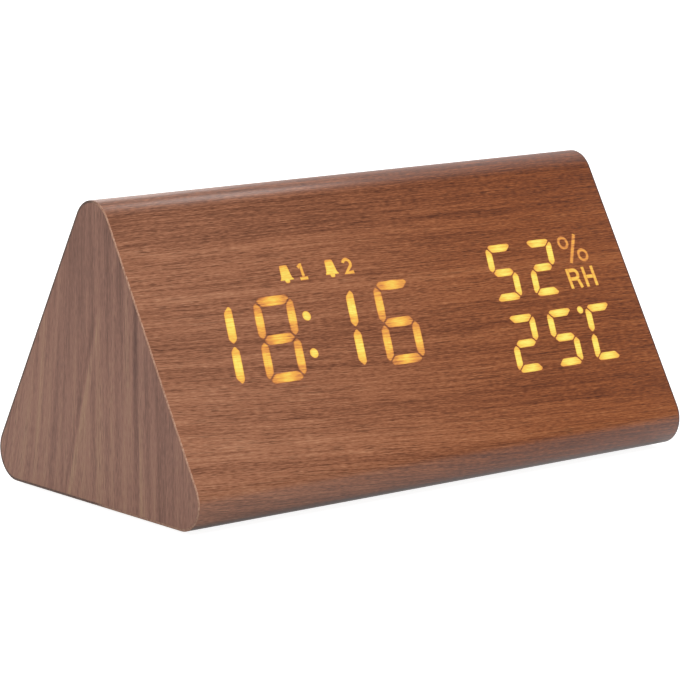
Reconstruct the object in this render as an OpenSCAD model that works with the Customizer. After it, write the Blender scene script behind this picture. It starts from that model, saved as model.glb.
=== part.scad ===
// Three-sided digital alarm clock: a fibreboard case in wood-grain film, with a segment display behind
// the film, and a control panel with a battery bay in the rear slope. All sizes are in millimetres.
// The origin is on the floor under the middle of the case. X runs along the ridge, the display faces -Y.

/* [Case] */
// Length of the case along its ridge
case_length = 150; // [136:1:180]
// Side of the sharp equilateral triangle that the section is drawn from
case_side = 90; // [88:1:110]
// Outer radius of the three long edges
edge_r = 7; // [6:0.5:9]
// Wall of the fibreboard sleeve
sleeve_t = 4; // [3.5:0.1:5]
// Thickness of the wood-grain film
film_t = 0.6; // [0.4:0.1:0.8]
// Thickness of a fibreboard end panel
end_t = 5; // [4:0.5:6]
// Reach of an end panel's corner plugs into the sleeve
plug_depth = 8; // [4:1:12]
// Radius of an end panel's corner plugs
plug_r = 8; // [6:0.5:9]
// Glue gap between a corner plug and the sleeve
plug_gap = 0.1; // [0.05:0.05:0.3]
// Butt seam of the film along the base
seam_w = 0.3; // [0.2:0.1:0.6]

/* [Feet] */
// Diameter of a rubber foot
foot_d = 10; // [6:1:14]
// Thickness of a rubber foot
foot_h = 1; // [0.8:0.1:2]
// Bevel round a foot's lower rim
foot_bevel = 0.3; // [0.1:0.1:0.5]
// Distance from a foot's rim to the end of the case
foot_end_inset = 10; // [6:1:20]
// Distance from a foot's rim to the start of the rounded edge
foot_edge_inset = 2; // [1:0.5:6]

/* [Digits] */
// Hours and minutes shown
time_digits = [1, 8, 1, 6]; // [0:1:9]
// Relative humidity shown
humidity_digits = [5, 2]; // [0:1:9]
// Temperature shown
temperature_digits = [2, 5]; // [0:1:9]
// Height of a time digit
time_h = 21.2; // [18:0.1:23]
// Width of a time digit
time_w = 12; // [10:0.1:13]
// Stroke of a time segment
time_stroke = 2.5; // [2:0.1:3]
// Distance between the centres of time digits
time_pitch = 18; // [17:0.1:19]
// Distance from the colon to the left end of the case
time_offset = 45.1; // [43:0.1:50]
// Diameter of a colon dot
colon_d = 2.6; // [2:0.1:3.2]
// Distance between the colon dots
colon_pitch = 9.2; // [7:0.1:11]
// Height of a small digit
small_h = 14.8; // [13:0.1:16]
// Width of a small digit
small_w = 9; // [8:0.1:10]
// Stroke of a small segment
small_stroke = 2.05; // [1.6:0.05:2.4]
// Distance between the centres of small digits
small_pitch = 13; // [12:0.1:14]
// Gap between the humidity row and the temperature row
row_gap = 3.85; // [3:0.05:5]
// Drop of the two rows' middle below the time's middle
rows_drop = 0.7; // [0:0.1:2]
// Distance from the first humidity digit to the right end of the case
humidity_offset = 40.6; // [39.5:0.1:44]
// Distance from the first temperature digit to the right end of the case
temperature_offset = 41.5; // [40:0.1:45]
// Diameter of the degree dot
degree_d = 2.1; // [1.6:0.1:2.4]
// Lean of every digit, in degrees
slant = 9; // [0:1:12]
// Dark gap between neighbouring segments
segment_gap = 0.5; // [0.3:0.05:0.7]
// Height of the alarm signs above the time digits
alarm_rise = 4.8; // [4:0.1:6]
// Distance between the two alarm signs
alarm_pitch = 13.6; // [12:0.1:15]
// Distance of the first alarm sign from the colon
alarm_shift = 1.3; // [0:0.1:3]
// Distance of an alarm sign's number from its bell
alarm_number_step = 5.1; // [4.5:0.1:6]
// Distance of the unit signs from the last humidity digit
unit_step = 11.8; // [11:0.1:12.5]
// Distance of each unit sign from the middle of its row
unit_rise = 3.9; // [3.5:0.1:4.5]

/* [Display module] */
// Distance of the display's middle below the middle of the front slope
display_drop = 1; // [0:0.1:3]
// Border of the reflector round the outermost segments
display_border = 1.5; // [1:0.1:2]
// Depth of the moulded reflector, more than the sleeve's wall
reflector_t = 6; // [5.5:0.1:8]
// Depth of the clear lens in each segment
lens_t = 3; // [1:0.1:4]
// Width of a fixing ear on the reflector
ear_w = 12; // [9:0.5:16]
// Reach of a fixing ear behind the sleeve's wall
ear_reach = 5.5; // [5:0.1:7]
// Distance from the middle of an ear to the end of the reflector
ear_inset = 16; // [14:0.5:24]
// Gap round the reflector in the sleeve's window
window_gap = 0.3; // [0.2:0.1:0.6]
// Gap between the reflector's faces and what they are glued to
glue_gap = 0.05; // [0.02:0.01:0.1]
// Thickness of both circuit boards
board_t = 1.6; // [1:0.1:2]
// Diameter of the pins that carry the display board
stake_d = 1.8; // [1.4:0.1:2.2]
// Width of the flat cable
ribbon_w = 12; // [8:0.5:14]
// Thickness of the flat cable
ribbon_t = 0.8; // [0.5:0.1:1.2]
// Sag of the flat cable between its two plugs
ribbon_sag = 6; // [4:0.5:9]

/* [Rear panel] */
// Thickness of the moulded panel
panel_t = 2.4; // [2:0.1:2.8]
// Depth of the panel's face below the film
panel_recess = 0.3; // [0.2:0.1:0.6]
// Corner radius of the panel
panel_r = 4; // [3:0.5:6]
// Distance of the panel's middle below the middle of the rear slope
panel_drop = 3; // [1:0.5:5]
// Gap round the panel in its rebate
panel_gap = 0.2; // [0.1:0.05:0.4]
// Fibreboard ledge under each end of the panel
end_ledge = 7; // [6.5:0.5:9]
// Fibreboard ledge under the panel's long sides
side_ledge = 3; // [2:0.5:4]
// Width of the control area beside the battery bay
control_w = 39; // [38:0.5:44]
// Space between the panel and the control board
board_gap = 7; // [6.8:0.1:9]
// Height of the button row above the panel's middle
button_row = 9.5; // [7:0.5:10]
// Depth of the sounder and sensor row below the panel's middle
sensor_row = 8; // [7:0.5:9]
// Depth of the power socket below the panel's middle
usb_row = 12.5; // [11:0.5:13]

/* [Buttons] */
// Diameter of a button cap
button_d = 7; // [5:0.1:8]
// Height of a button cap above the panel
button_rise = 1.2; // [0.6:0.1:2]
// Distance between button centres
button_pitch = 12; // [11.5:0.1:12.5]
// Clearance round a button cap in the panel
button_gap = 0.15; // [0.1:0.05:0.3]
// Rim that holds a button in the panel
button_rim = 1; // [0.6:0.1:1.4]
// Travel of a button
button_travel = 0.5; // [0.2:0.1:0.5]

/* [Battery bay] */
// Diameter of a cell
cell_d = 10.5; // [10:0.1:11]
// Length of a cell over its contact nub
cell_length = 44.5; // [43:0.1:46]
// Clearance round a cell in its channel
cell_gap = 0.3; // [0.2:0.05:0.5]
// Distance between cell centres
cell_pitch = 11.5; // [11.4:0.1:12.5]
// Wall and floor of the bay
bay_wall = 1.8; // [1.4:0.1:2.4]
// Fitted length of a contact spring
spring_length = 6.5; // [6:0.1:8]
// Wire of a contact spring
spring_wire = 0.6; // [0.4:0.05:0.7]
// Turns of a contact spring
spring_turns = 3; // [2:1:3]
// Thickness of a contact plate
plate_t = 0.4; // [0.3:0.05:0.6]
// Diameter of a battery lead
lead_d = 1; // [0.8:0.1:1.2]
// Thickness of the bay's door
door_t = 2.2; // [1.8:0.1:2.4]
// Gap round the door
door_gap = 0.2; // [0.15:0.05:0.3]
// Overlap of the door on the bay's rim
door_lap = 0.7; // [0.4:0.1:1]
// Diameter of the door's hinge pegs
peg_d = 1.3; // [1:0.1:1.4]
// Reach of the door's hinge pegs into the panel
peg_reach = 1.6; // [1:0.1:2]

/* [Hidden] */
$fn = 48;
// Overshoot of a cut past the face that it opens
past = 1;
// Running clearance of pegs, pins and plungers
running = 0.05;
// How far a rounded edge stands proud of the flats, so that it crosses them cleanly
corner_lift = 0.001;
// Screw sizes
screw_d = 2;
screw_head_d = 3.8;
screw_head_h = 1.1;
screw_length = 4.6;
screw_hole_d = 2.4;
// Cross recess in a screw's head: length, width and depth
recess_size = [2.28, 0.5, 0.55];
// Room round a sunk screw head, and its depth below the face
head_gap = 0.2;
head_sink = 0.1;
// Wall left in front of a blind screw hole
blind_wall = 1;
// Least radius of the section's inner corners
least_r = 0.8;

// Distance from the middle of the section to each face
inradius = case_side / (2 * sqrt(3));
// Height of the section's middle above the floor
middle_z = foot_h + inradius;
// Length of the sleeve between the two end panels
sleeve_length = case_length - 2 * (end_t + film_t);
wall_t = film_t + sleeve_t;
// Half the flat width of each face, between its rounded edges
flat_half = case_side / 2 - edge_r * sqrt(3);
foot_x = case_length / 2 - foot_end_inset - foot_d / 2;
foot_y = flat_half - foot_edge_inset - foot_d / 2;

// Segments that each figure lights, in the usual letters from a at the top to g in the middle
LIT = ["abcdef", "bc", "abdeg", "abcdg", "bcfg", "acdfg", "acdefg", "abc", "abcdefg", "abcdfg"];
LIT_CELSIUS = "adef";
ALL_SEGMENTS = "abcdefg";
// Share of the stroke that is cut off a digit's outer corners
corner_share = 0.65;
miter_gap = segment_gap / sqrt(2);

// Places along the display: the time is set out from the left end of the case, the readings from the right
colon_x = time_offset - case_length / 2;
time_x = [for (i = [0:3]) colon_x + (i - 1.5) * time_pitch];
row_y = (small_h + row_gap) / 2;
humidity_x = [for (i = [0:1]) case_length / 2 - humidity_offset + i * small_pitch];
humidity_y = row_y - rows_drop;
temperature_x = [for (i = [0:2]) case_length / 2 - temperature_offset + i * small_pitch];
temperature_y = -row_y - rows_drop;
// The last temperature place holds the sign of the unit, and those before it hold figures
figure_x = [temperature_x[0], temperature_x[1]];
// The degree dot stands beside the top corner of the last temperature figure
degree_x = temperature_x[2] - small_w / 2 - degree_d / 4;
degree_y = temperature_y + small_h / 2 - degree_d / 2;
// Windows of the alarm signs and unit signs in the reflector: middle, then size
alarm_x = colon_x - alarm_shift;
alarm_y = time_h / 2 + alarm_rise;
bell_size = [4, 4.8];
number_size = [3.2, 4.8];
percent_size = [7.4, 7.4];
humidity_letters_size = [9.9, 5.4];
unit_x = humidity_x[1] + unit_step;
SIGNS = [
    for (i = [0:1]) [[alarm_x + i * alarm_pitch, alarm_y], bell_size],
    for (i = [0:1]) [[alarm_x + i * alarm_pitch + alarm_number_step, alarm_y], number_size],
    [[unit_x, humidity_y + unit_rise], percent_size],
    [[unit_x, humidity_y - unit_rise], humidity_letters_size]
];

function lean_at(h) = h / 2 * tan(slant);
reach_left = -time_x[0] + time_w / 2 + lean_at(time_h);
reach_right = temperature_x[2] + small_w / 2 + lean_at(small_h);
reach_up = max(alarm_y + bell_size.y / 2, humidity_y + small_h / 2);
reach_down = max(-temperature_y + small_h / 2, time_h / 2);
display_w = 2 * (max(reach_left, reach_right) + display_border);
display_h = 2 * (max(reach_up, reach_down) + display_border);
// Depth of the display's layers below the outer face of the film
reflector_front = film_t + glue_gap;
reflector_back = reflector_front + reflector_t;
ear_front = wall_t + glue_gap;
display_board_back = reflector_back + board_t;
ear_x = display_w / 2 - ear_inset;
ear_y = display_h / 2 + window_gap + ear_reach / 2;
board_margin = 0.5;
stake_inset = 2.2;
stake_x = display_w / 2 - 2 * stake_inset;
stake_y = display_h / 2 - stake_inset;
stake_head = 0.5;
led_size = [1.6, 0.8, 0.6];

// Battery bay, along the panel's own axes
cell_r = cell_d / 2;
channel_r = cell_r + cell_gap;
bay_length = cell_length + 2 * plate_t + spring_length;
bay_width = 2 * (cell_pitch + channel_r);
door_w = bay_length + 2 * door_lap;
door_h = bay_width + 2 * door_lap;
panel_back = panel_recess + panel_t;
// Room between the cells and the inside of the door
cell_room = 0.7;
cell_axis_z = -panel_recess - door_t - cell_room - cell_r;
bay_floor_z = cell_axis_z - channel_r - bay_wall;
bay_outer_w = bay_length + 2 * bay_wall;
bay_outer_h = bay_width + 2 * bay_wall;
panel_w = bay_outer_w + control_w + 2 * end_ledge;
panel_h = bay_outer_h + 2 * side_ledge;
bay_x = -panel_w / 2 + end_ledge + bay_outer_w / 2;
control_x = panel_w / 2 - end_ledge - control_w / 2;
door_seat_z = -panel_recess - door_t - door_gap;
hinge_y = -door_h / 2 + door_t / 2;
hinge_z = -panel_recess - door_t / 2;
panel_screw_x = panel_w / 2 - end_ledge / 2;
panel_screw_y = panel_h / 2 - panel_r - screw_head_d / 2;
panel_screw_z = -panel_recess - screw_head_h - head_sink;

// Control board, behind the panel
board_inset = [1, 0.5];
board_w = control_w - 2 * board_inset.x;
board_h = bay_outer_h - 2 * board_inset.y;
board_face_z = -panel_back - board_gap;
board_back_z = board_face_z - board_t;
boss_r = 2.3;
// Solid length of a boss between the panel and the end of its screw hole
boss_floor = 1.5;
boss_x = board_w / 2 - boss_r;
boss_y = board_h / 2 - boss_r;
chip_size = [9, 9, 1.2];
chip_stand_off = 0.2;
chip_lead_size = [2, 0.5, 0.6];
chip_lead_pitch = 1.1;
chip_lead_reach = 0.5;
chip_place = [board_w / 2 - 14.5, 8.5];
crystal_size = [4.6, 10, 3.6];
crystal_r = crystal_size.x * 0.48;
crystal_place = [9.5 - board_w / 2, 10];
capacitor_size = [6.3, 8];
capacitor_place = [9.5 - board_w / 2, -12];
switch_side = 6;
switch_h = 3.5;
plunger_d = 3.4;
plunger_rise = 1.3;
plunger_depth = 2;
plunger_room = 0.3;
button_stem_d = 3;
rim_t = 1;
// Bevel round a button's cap, and the ball that its dish is cut by
button_bevel = 0.4;
dish_r = 12;
dish_depth = 0.35;
// Room between the board's tallest parts and the panel
part_room = 0.4;
buzzer_d = 12;
buzzer_h = board_gap - part_room;
buzzer_hole_d = 2;
buzzer_hole_depth = 2;
sensor_size = [8, 10, board_gap - part_room];
sensor_border = 1;
sensor_slot = 0.9;
sensor_slot_depth = 1.5;
usb_size = [8, 3];
usb_wall = 0.35;
usb_depth = 5.5;
usb_mouth = 1;
usb_tongue_size = [4.6, 0.7];
usb_tongue_set_back = 0.6;
usb_corner = 0.8;
usb_opening_gap = 0.4;
// Shallow dimple round each button, finger scallop over the door, sound holes and vent slots
dimple_margin = 1.5;
dimple_depth = 0.5;
scallop_d = 3;
sound_hole_d = 1.6;
slot_size = [7, 1.1];
slot_r = slot_size.y * 0.45;

// Frames of the three faces: X along the ridge, Y up the slope, Z out of the face

module on_front() {
    translate([0, 0, middle_z]) rotate([60, 0, 0]) translate([0, 0, inradius]) children();
}

module on_rear() {
    translate([0, 0, middle_z]) rotate([60, 0, 180]) translate([0, 0, inradius]) children();
}

module on_base() {
    translate([0, 0, middle_z]) rotate([180, 0, 0]) translate([0, 0, inradius]) children();
}

module on_display() {
    on_front() translate([0, -display_drop, 0]) children();
}

module on_panel() {
    on_rear() translate([0, -panel_drop, 0]) children();
}

module on_bay() {
    on_panel() translate([bay_x, 0, 0]) children();
}

module on_controls() {
    on_panel() translate([control_x, 0, 0]) children();
}

// Shapes that repeat

// Section of the case, drawn in by inset from its outer face
module section(inset) {
    r = max(edge_r - inset, least_r);
    centre_r = 2 * (inradius - inset - r);
    corners = [for (a = [90, 210, 330]) centre_r * [cos(a), sin(a)]];
    polygon([
        for (i = [0:2], side = [-60, 60])
            let (a = 90 + 120 * i + side) corners[i] + r * [cos(a), sin(a)]
    ]);
    for (c = corners) translate(c) circle(r + corner_lift);
}

// Length of the section along the ridge, between two places on X
module prism(inset, from, to) {
    translate([from, 0, middle_z]) rotate([90, 0, 90]) linear_extrude(to - from) section(inset);
}

module rounded_rect(w, h, r) {
    square([w - 2 * r, h], center = true);
    square([w, h - 2 * r], center = true);
    for (x = [-1, 1], y = [-1, 1]) translate([x * (w / 2 - r), y * (h / 2 - r)]) circle(r);
}

// Rounded plate between two heights
module plate(w, h, r, low, high) {
    translate([0, 0, low]) linear_extrude(high - low) rounded_rect(w, h, r);
}

// Block between two heights
module block(w, h, low, high) {
    translate([-w / 2, -h / 2, low]) cube([w, h, high - low]);
}

// Round bar between two heights
module bar(d, low, high) {
    translate([0, 0, low]) cylinder(d = d, h = high - low);
}

// Self-tapping screw with its head's underside at height 0, pointing down
module screw() {
    difference() {
        union() {
            bar(screw_head_d, 0, screw_head_h);
            bar(screw_d, -screw_length, screw_head_h / 2);
        }
        for (a = [0, 90]) rotate(a)
            block(recess_size.x, recess_size.y, screw_head_h - recess_size.z, screw_head_h + past);
    }
}

module at_four(x, y) {
    for (sx = [-1, 1], sy = [-1, 1]) translate([sx * x, sy * y, 0]) children();
}

// Segments of the digits

// Outline of one segment of an upright figure, by its letter
function segment(name, w, h, t) =
    let (
        g = miter_gap,
        k = corner_share * t,
        l = -w / 2,
        top = [
            [l + (k + g) / 2, h / 2 - (k - g) / 2], [l + k, h / 2], [-l - k, h / 2],
            [-l - (k + g) / 2, h / 2 - (k - g) / 2], [-l - t - g, h / 2 - t], [l + t + g, h / 2 - t]
        ],
        upper_left = [
            [l, h / 2 - k], [l + (k - g) / 2, h / 2 - (k + g) / 2], [l + t, h / 2 - t - g],
            [l + t, t / 2 + g], [l + t / 2, g], [l, t / 2 + g]
        ],
        middle = [
            [l + t / 2 + g, 0], [l + t + g, t / 2], [-l - t - g, t / 2],
            [-l - t / 2 - g, 0], [-l - t - g, -t / 2], [l + t + g, -t / 2]
        ]
    )
    name == "a" ? top :
    name == "d" ? [for (p = top) [p.x, -p.y]] :
    name == "f" ? upper_left :
    name == "b" ? [for (p = upper_left) [-p.x, p.y]] :
    name == "e" ? [for (p = upper_left) [p.x, -p.y]] :
    name == "c" ? [for (p = upper_left) [-p.x, -p.y]] :
    middle;

// The named segments of one leaning figure
module figure(names, w, h, t) {
    for (name = names) polygon([for (p = segment(name, w, h, t)) [p.x + p.y * tan(slant), p.y]]);
}

module time_figure(names) {
    figure(names, time_w, time_h, time_stroke);
}

module small_figure(names) {
    figure(names, small_w, small_h, small_stroke);
}

module colon() {
    for (side = [-1, 1]) {
        y = side * colon_pitch / 2;
        translate([colon_x + y * tan(slant), y]) circle(d = colon_d);
    }
}

module degree_dot() {
    translate([degree_x, degree_y]) circle(d = degree_d);
}

module lit_time() {
    for (i = [0:3]) translate([time_x[i], 0]) time_figure(LIT[time_digits[i]]);
    colon();
}

module lit_humidity() {
    for (i = [0:1]) translate([humidity_x[i], humidity_y]) small_figure(LIT[humidity_digits[i]]);
}

module lit_temperature() {
    for (i = [0:1]) translate([temperature_x[i], temperature_y]) small_figure(LIT[temperature_digits[i]]);
    translate([temperature_x[2], temperature_y]) small_figure(LIT_CELSIUS);
    degree_dot();
}

// Every segment that the display has, lit or not
module all_segments() {
    for (x = time_x) translate([x, 0]) time_figure(ALL_SEGMENTS);
    for (x = humidity_x) translate([x, humidity_y]) small_figure(ALL_SEGMENTS);
    for (x = figure_x) translate([x, temperature_y]) small_figure(ALL_SEGMENTS);
    translate([temperature_x[2], temperature_y]) small_figure(LIT_CELSIUS);
    colon();
    degree_dot();
    for (s = SIGNS) translate(s[0]) square(s[1], center = true);
}

// Middle of a segment's outline, where its light sits
function middle_of(points) = [for (p = points) 1] * points / len(points);
function leaning(p) = [p.x + p.y * tan(slant), p.y];
function led_row(xs, y, names, w, h, t) = [
    for (x = xs, name = names) [x, y] + leaning(middle_of(segment(name, w, h, t)))
];
LED_PLACES = concat(
    led_row(time_x, 0, ALL_SEGMENTS, time_w, time_h, time_stroke),
    led_row(humidity_x, humidity_y, ALL_SEGMENTS, small_w, small_h, small_stroke),
    led_row(figure_x, temperature_y, ALL_SEGMENTS, small_w, small_h, small_stroke),
    led_row([temperature_x[2]], temperature_y, LIT_CELSIUS, small_w, small_h, small_stroke),
    [for (side = [-1, 1]) [colon_x, 0] + leaning([0, side * colon_pitch / 2])],
    [[degree_x, degree_y]],
    [for (s = SIGNS) s[0]]
);

// Case

module panel_cut(low) {
    on_panel() plate(panel_w + 2 * panel_gap, panel_h + 2 * panel_gap, panel_r + panel_gap, low, past);
}

module veneer_wrap() {
    half = case_length / 2;
    color("sienna") difference() {
        prism(0, -half, half);
        prism(film_t, -half - past, half + past);
        panel_cut(-panel_back);
        on_base() block(case_length + 2 * past, seam_w, -film_t - past, past);
        on_display() translate([0, 0, -film_t - past]) linear_extrude(film_t + 2 * past) {
            lit_time();
            lit_humidity();
            lit_temperature();
        }
    }
}

module window(shade) {
    color(shade) on_display() translate([0, 0, -film_t]) linear_extrude(film_t) children();
}

module time_windows() {
    window("gold") lit_time();
}

module humidity_windows() {
    window("gold") lit_humidity();
}

module temperature_windows() {
    window("gold") lit_temperature();
}

module end_veneer(side) {
    outer = case_length / 2;
    color("sienna") mirror([side > 0 ? 0 : 1, 0, 0]) prism(film_t, outer - film_t, outer);
}

// Fibreboard end with three plugs that are glued into the sleeve's corners
module end_panel(side) {
    inner = sleeve_length / 2;
    plug_inset = wall_t + plug_gap;
    centre_r = 2 * (inradius - edge_r);
    color("peru") mirror([side > 0 ? 0 : 1, 0, 0]) union() {
        prism(film_t, inner, inner + end_t);
        intersection() {
            prism(plug_inset, inner - plug_depth, inner + end_t / 2);
            for (a = [90, 210, 330])
                translate([inner - plug_depth - past, centre_r * cos(a), middle_z + centre_r * sin(a)])
                    rotate([0, 90, 0]) cylinder(r = plug_r, h = plug_depth + end_t);
        }
    }
}

module case_sleeve() {
    half = sleeve_length / 2;
    color("burlywood") difference() {
        prism(film_t, -half, half);
        prism(wall_t, -half - past, half + past);
        on_display() block(display_w + 2 * window_gap, display_h + 2 * window_gap, -wall_t - past, past);
        on_display() at_four(ear_x, ear_y) bar(screw_d + 2 * running, -wall_t - past, -film_t - blind_wall);
        panel_cut(-panel_back);
        on_panel() block(panel_w - 2 * end_ledge + 2 * panel_gap, panel_h - 2 * side_ledge + 2 * panel_gap,
            -wall_t - past, past);
        on_panel() at_four(panel_screw_x, panel_screw_y) bar(screw_d + 2 * running, -wall_t - past, past);
    }
}

module rubber_feet() {
    color("black") on_base() at_four(foot_x, foot_y) {
        bar(foot_d, 0, foot_h - foot_bevel);
        translate([0, 0, foot_h - foot_bevel])
            cylinder(d1 = foot_d, d2 = foot_d - 2 * foot_bevel, h = foot_bevel);
    }
}

// Display module

module display_reflector() {
    color("whitesmoke") on_display() difference() {
        union() {
            block(display_w, display_h, -reflector_back, -reflector_front);
            for (side = [-1, 1]) translate([side * ear_x, 0, 0])
                block(ear_w, display_h + 2 * (window_gap + ear_reach), -reflector_back, -ear_front);
            at_four(stake_x, stake_y) bar(stake_d, -display_board_back - stake_head, -ear_front);
        }
        translate([0, 0, -reflector_back - past]) linear_extrude(reflector_t + 2 * past) all_segments();
        at_four(ear_x, ear_y) bar(screw_hole_d, -reflector_back - past, -ear_front + past);
    }
}

module segment_lenses() {
    color("wheat") on_display() translate([0, 0, -reflector_front - lens_t])
        linear_extrude(lens_t) all_segments();
}

module display_board() {
    color("darkgreen") on_display() difference() {
        block(display_w - 2 * board_margin, display_h - 2 * board_margin,
            -display_board_back, -reflector_back);
        at_four(stake_x, stake_y)
            bar(stake_d + 2 * running, -display_board_back - past, -reflector_back + past);
    }
}

module display_leds() {
    color("lightyellow") on_display() for (p = LED_PLACES)
        translate(p) block(led_size.x, led_size.y, -reflector_back, -reflector_back + led_size.z);
}

module display_screws() {
    color("silver") on_display() at_four(ear_x, ear_y)
        translate([0, 0, -reflector_back]) rotate([180, 0, 0]) screw();
}

// Flat cable from the display board to the control board

plug_margin = 1.5;
plug_size = [ribbon_w + 2 * plug_margin, 4, 4.5];
// Places of the two plugs up their slopes
display_plug_y = -6;
control_plug_y = -4;
// Middle of the case's length at which the cable hangs
ribbon_x = -control_x;
function slope_point(normal_angle, depth, up) =
    let (n = [cos(normal_angle), sin(normal_angle)], t = [-n.y, n.x])
    (inradius - depth) * n + (normal_angle > 90 ? -up : up) * t;
ribbon_a = slope_point(150, display_board_back + plug_size.z, display_plug_y - display_drop);
ribbon_b = slope_point(30, -board_back_z + plug_size.z, control_plug_y - panel_drop);
ribbon_span = norm(ribbon_b - ribbon_a);
ribbon_r = (pow(ribbon_span / 2, 2) + pow(ribbon_sag, 2)) / (2 * ribbon_sag);
ribbon_half_angle = asin(ribbon_span / 2 / ribbon_r);
// Extra arc that is crimped inside each plug
ribbon_crimp = 3;

module ribbon_cable() {
    mid = (ribbon_a + ribbon_b) / 2;
    tilt = atan2(ribbon_b.y - ribbon_a.y, ribbon_b.x - ribbon_a.x);
    color("lightgray") translate([ribbon_x, mid.x, middle_z + mid.y]) rotate([90, 0, 90]) rotate(tilt)
        translate([0, ribbon_r - ribbon_sag, -ribbon_w / 2])
            rotate(270 - ribbon_half_angle - ribbon_crimp)
                rotate_extrude(angle = 2 * (ribbon_half_angle + ribbon_crimp))
                    translate([ribbon_r - ribbon_t / 2, 0]) square([ribbon_t, ribbon_w]);
}

module ribbon_plugs() {
    color("ivory") {
        on_display() translate([ribbon_x, display_plug_y, 0])
            block(plug_size.x, plug_size.y, -display_board_back - plug_size.z, -display_board_back);
        on_controls() translate([0, control_plug_y, 0])
            block(plug_size.x, plug_size.y, board_back_z - plug_size.z, board_back_z);
    }
}

// Rear panel and controls

// Cut of the bay: three cell channels that open towards the door
module bay_space() {
    rotate([90, 0, 90]) translate([0, 0, -bay_length / 2]) linear_extrude(bay_length) {
        for (i = [-1:1]) translate([i * cell_pitch, cell_axis_z]) circle(channel_r);
        translate([-bay_width / 2, cell_axis_z]) square([bay_width, -cell_axis_z + past]);
    }
}

module button_places() {
    for (i = [-1:1]) translate([i * button_pitch, button_row, 0]) children();
}

module rear_panel() {
    color("dimgray") difference() {
        union() {
            on_panel() plate(panel_w, panel_h, panel_r, -panel_back, -panel_recess);
            on_bay() block(bay_outer_w, bay_outer_h, bay_floor_z, -panel_recess - panel_t / 2);
            on_controls() at_four(boss_x, boss_y)
                bar(2 * boss_r, board_face_z, -panel_recess - panel_t / 2);
        }
        on_bay() bay_space();
        on_bay() block(door_w + 2 * door_gap, door_h + 2 * door_gap, door_seat_z, past);
        on_bay() for (end = [-1, 1]) translate([0, -end * cell_pitch, lead_z]) rotate([0, end * 90, 0])
            bar(lead_d + 2 * panel_gap, bay_length / 2 - past, bay_outer_w / 2 + past);
        on_bay() translate([0, hinge_y, hinge_z]) rotate([0, 90, 0])
            bar(peg_d + 2 * running, -door_w / 2 - peg_reach - door_gap, door_w / 2 + peg_reach + door_gap);
        on_bay() translate([0, door_h / 2, -panel_recess]) rotate([0, 90, 0])
            bar(scallop_d, -tongue_w / 2, tongue_w / 2);
        on_controls() at_four(boss_x, boss_y)
            bar(screw_d + 2 * running, board_face_z - past, -panel_back - boss_floor);
        on_controls() button_places() bar(button_d + 2 * button_gap, -panel_back - past, past);
        on_controls() button_places() bar(button_d + 2 * dimple_margin, -panel_recess - dimple_depth, past);
        on_controls() translate([0, -usb_row, 0])
            plate(usb_size.x + 2 * usb_opening_gap, usb_size.y + 2 * usb_opening_gap, usb_corner,
                -panel_back - past, past);
        on_controls() translate([-button_pitch, -sensor_row, 0]) sound_holes();
        on_controls() translate([button_pitch, -sensor_row, 0]) sensor_slots();
        on_panel() at_four(panel_screw_x, panel_screw_y) {
            bar(screw_hole_d, -panel_back - past, past);
            bar(screw_head_d + 2 * head_gap, panel_screw_z, past);
        }
    }
}

module sound_holes() {
    bar(sound_hole_d, -panel_back - past, past);
    for (a = [0:60:300]) rotate(a) translate([2 * sound_hole_d, 0, 0])
        bar(sound_hole_d, -panel_back - past, past);
}

module sensor_slots() {
    for (i = [-2:2]) translate([0, i * 2 * slot_size.y, 0])
        plate(slot_size.x, slot_size.y, slot_r, -panel_back - past, past);
}

module panel_screws() {
    color("silver") on_panel() at_four(panel_screw_x, panel_screw_y)
        translate([0, 0, panel_screw_z]) screw();
}

module control_board() {
    color("darkgreen") on_controls() difference() {
        block(board_w, board_h, board_back_z, board_face_z);
        at_four(boss_x, boss_y) bar(screw_hole_d, board_back_z - past, board_face_z + past);
    }
}

module board_screws() {
    color("silver") on_controls() at_four(boss_x, boss_y)
        translate([0, 0, board_back_z]) rotate([180, 0, 0]) screw();
}

module control_chip() {
    top = board_back_z - chip_stand_off;
    color("black") on_controls() translate(chip_place) {
        block(chip_size.x, chip_size.y, top - chip_size.z, top);
        for (a = [0:90:270], i = [-3:3]) rotate(a)
            translate([chip_size.x / 2 + chip_lead_reach, i * chip_lead_pitch, 0])
                block(chip_lead_size.x, chip_lead_size.y, board_back_z - chip_lead_size.z, board_back_z);
    }
}

module quartz_crystal() {
    color("silver") on_controls() translate(crystal_place)
        plate(crystal_size.x, crystal_size.y, crystal_r, board_back_z - crystal_size.z, board_back_z);
}

module smoothing_capacitor() {
    color("black") on_controls() translate(capacitor_place)
        bar(capacitor_size.x, board_back_z - capacitor_size.y, board_back_z);
}

module switch_housings() {
    color("dimgray") on_controls() button_places() difference() {
        block(switch_side, switch_side, board_face_z, board_face_z + switch_h);
        bar(plunger_d + 2 * running, board_face_z + switch_h - plunger_depth - button_travel - plunger_room,
            board_face_z + switch_h + past);
    }
}

module on_button(i) {
    on_controls() translate([i * button_pitch, button_row, 0]) children();
}

plunger_tip_z = board_face_z + switch_h + plunger_rise;

module plunger(i) {
    color("black") on_button(i) bar(plunger_d, board_face_z + switch_h - plunger_depth, plunger_tip_z);
}

// Push cap with a shallow dish, held behind the panel by its rim
module button(i) {
    top = -panel_recess + button_rise;
    shoulder = top - button_bevel;
    color("dimgray") on_button(i) difference() {
        union() {
            bar(button_d, -panel_back - running - rim_t, shoulder);
            translate([0, 0, shoulder])
                cylinder(d1 = button_d, d2 = button_d - 2 * button_bevel, h = button_bevel);
            bar(button_d + 2 * button_rim, -panel_back - running - rim_t, -panel_back - running);
            bar(button_stem_d, plunger_tip_z, -panel_back);
        }
        translate([0, 0, top + dish_r - dish_depth]) sphere(dish_r);
    }
}

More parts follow.
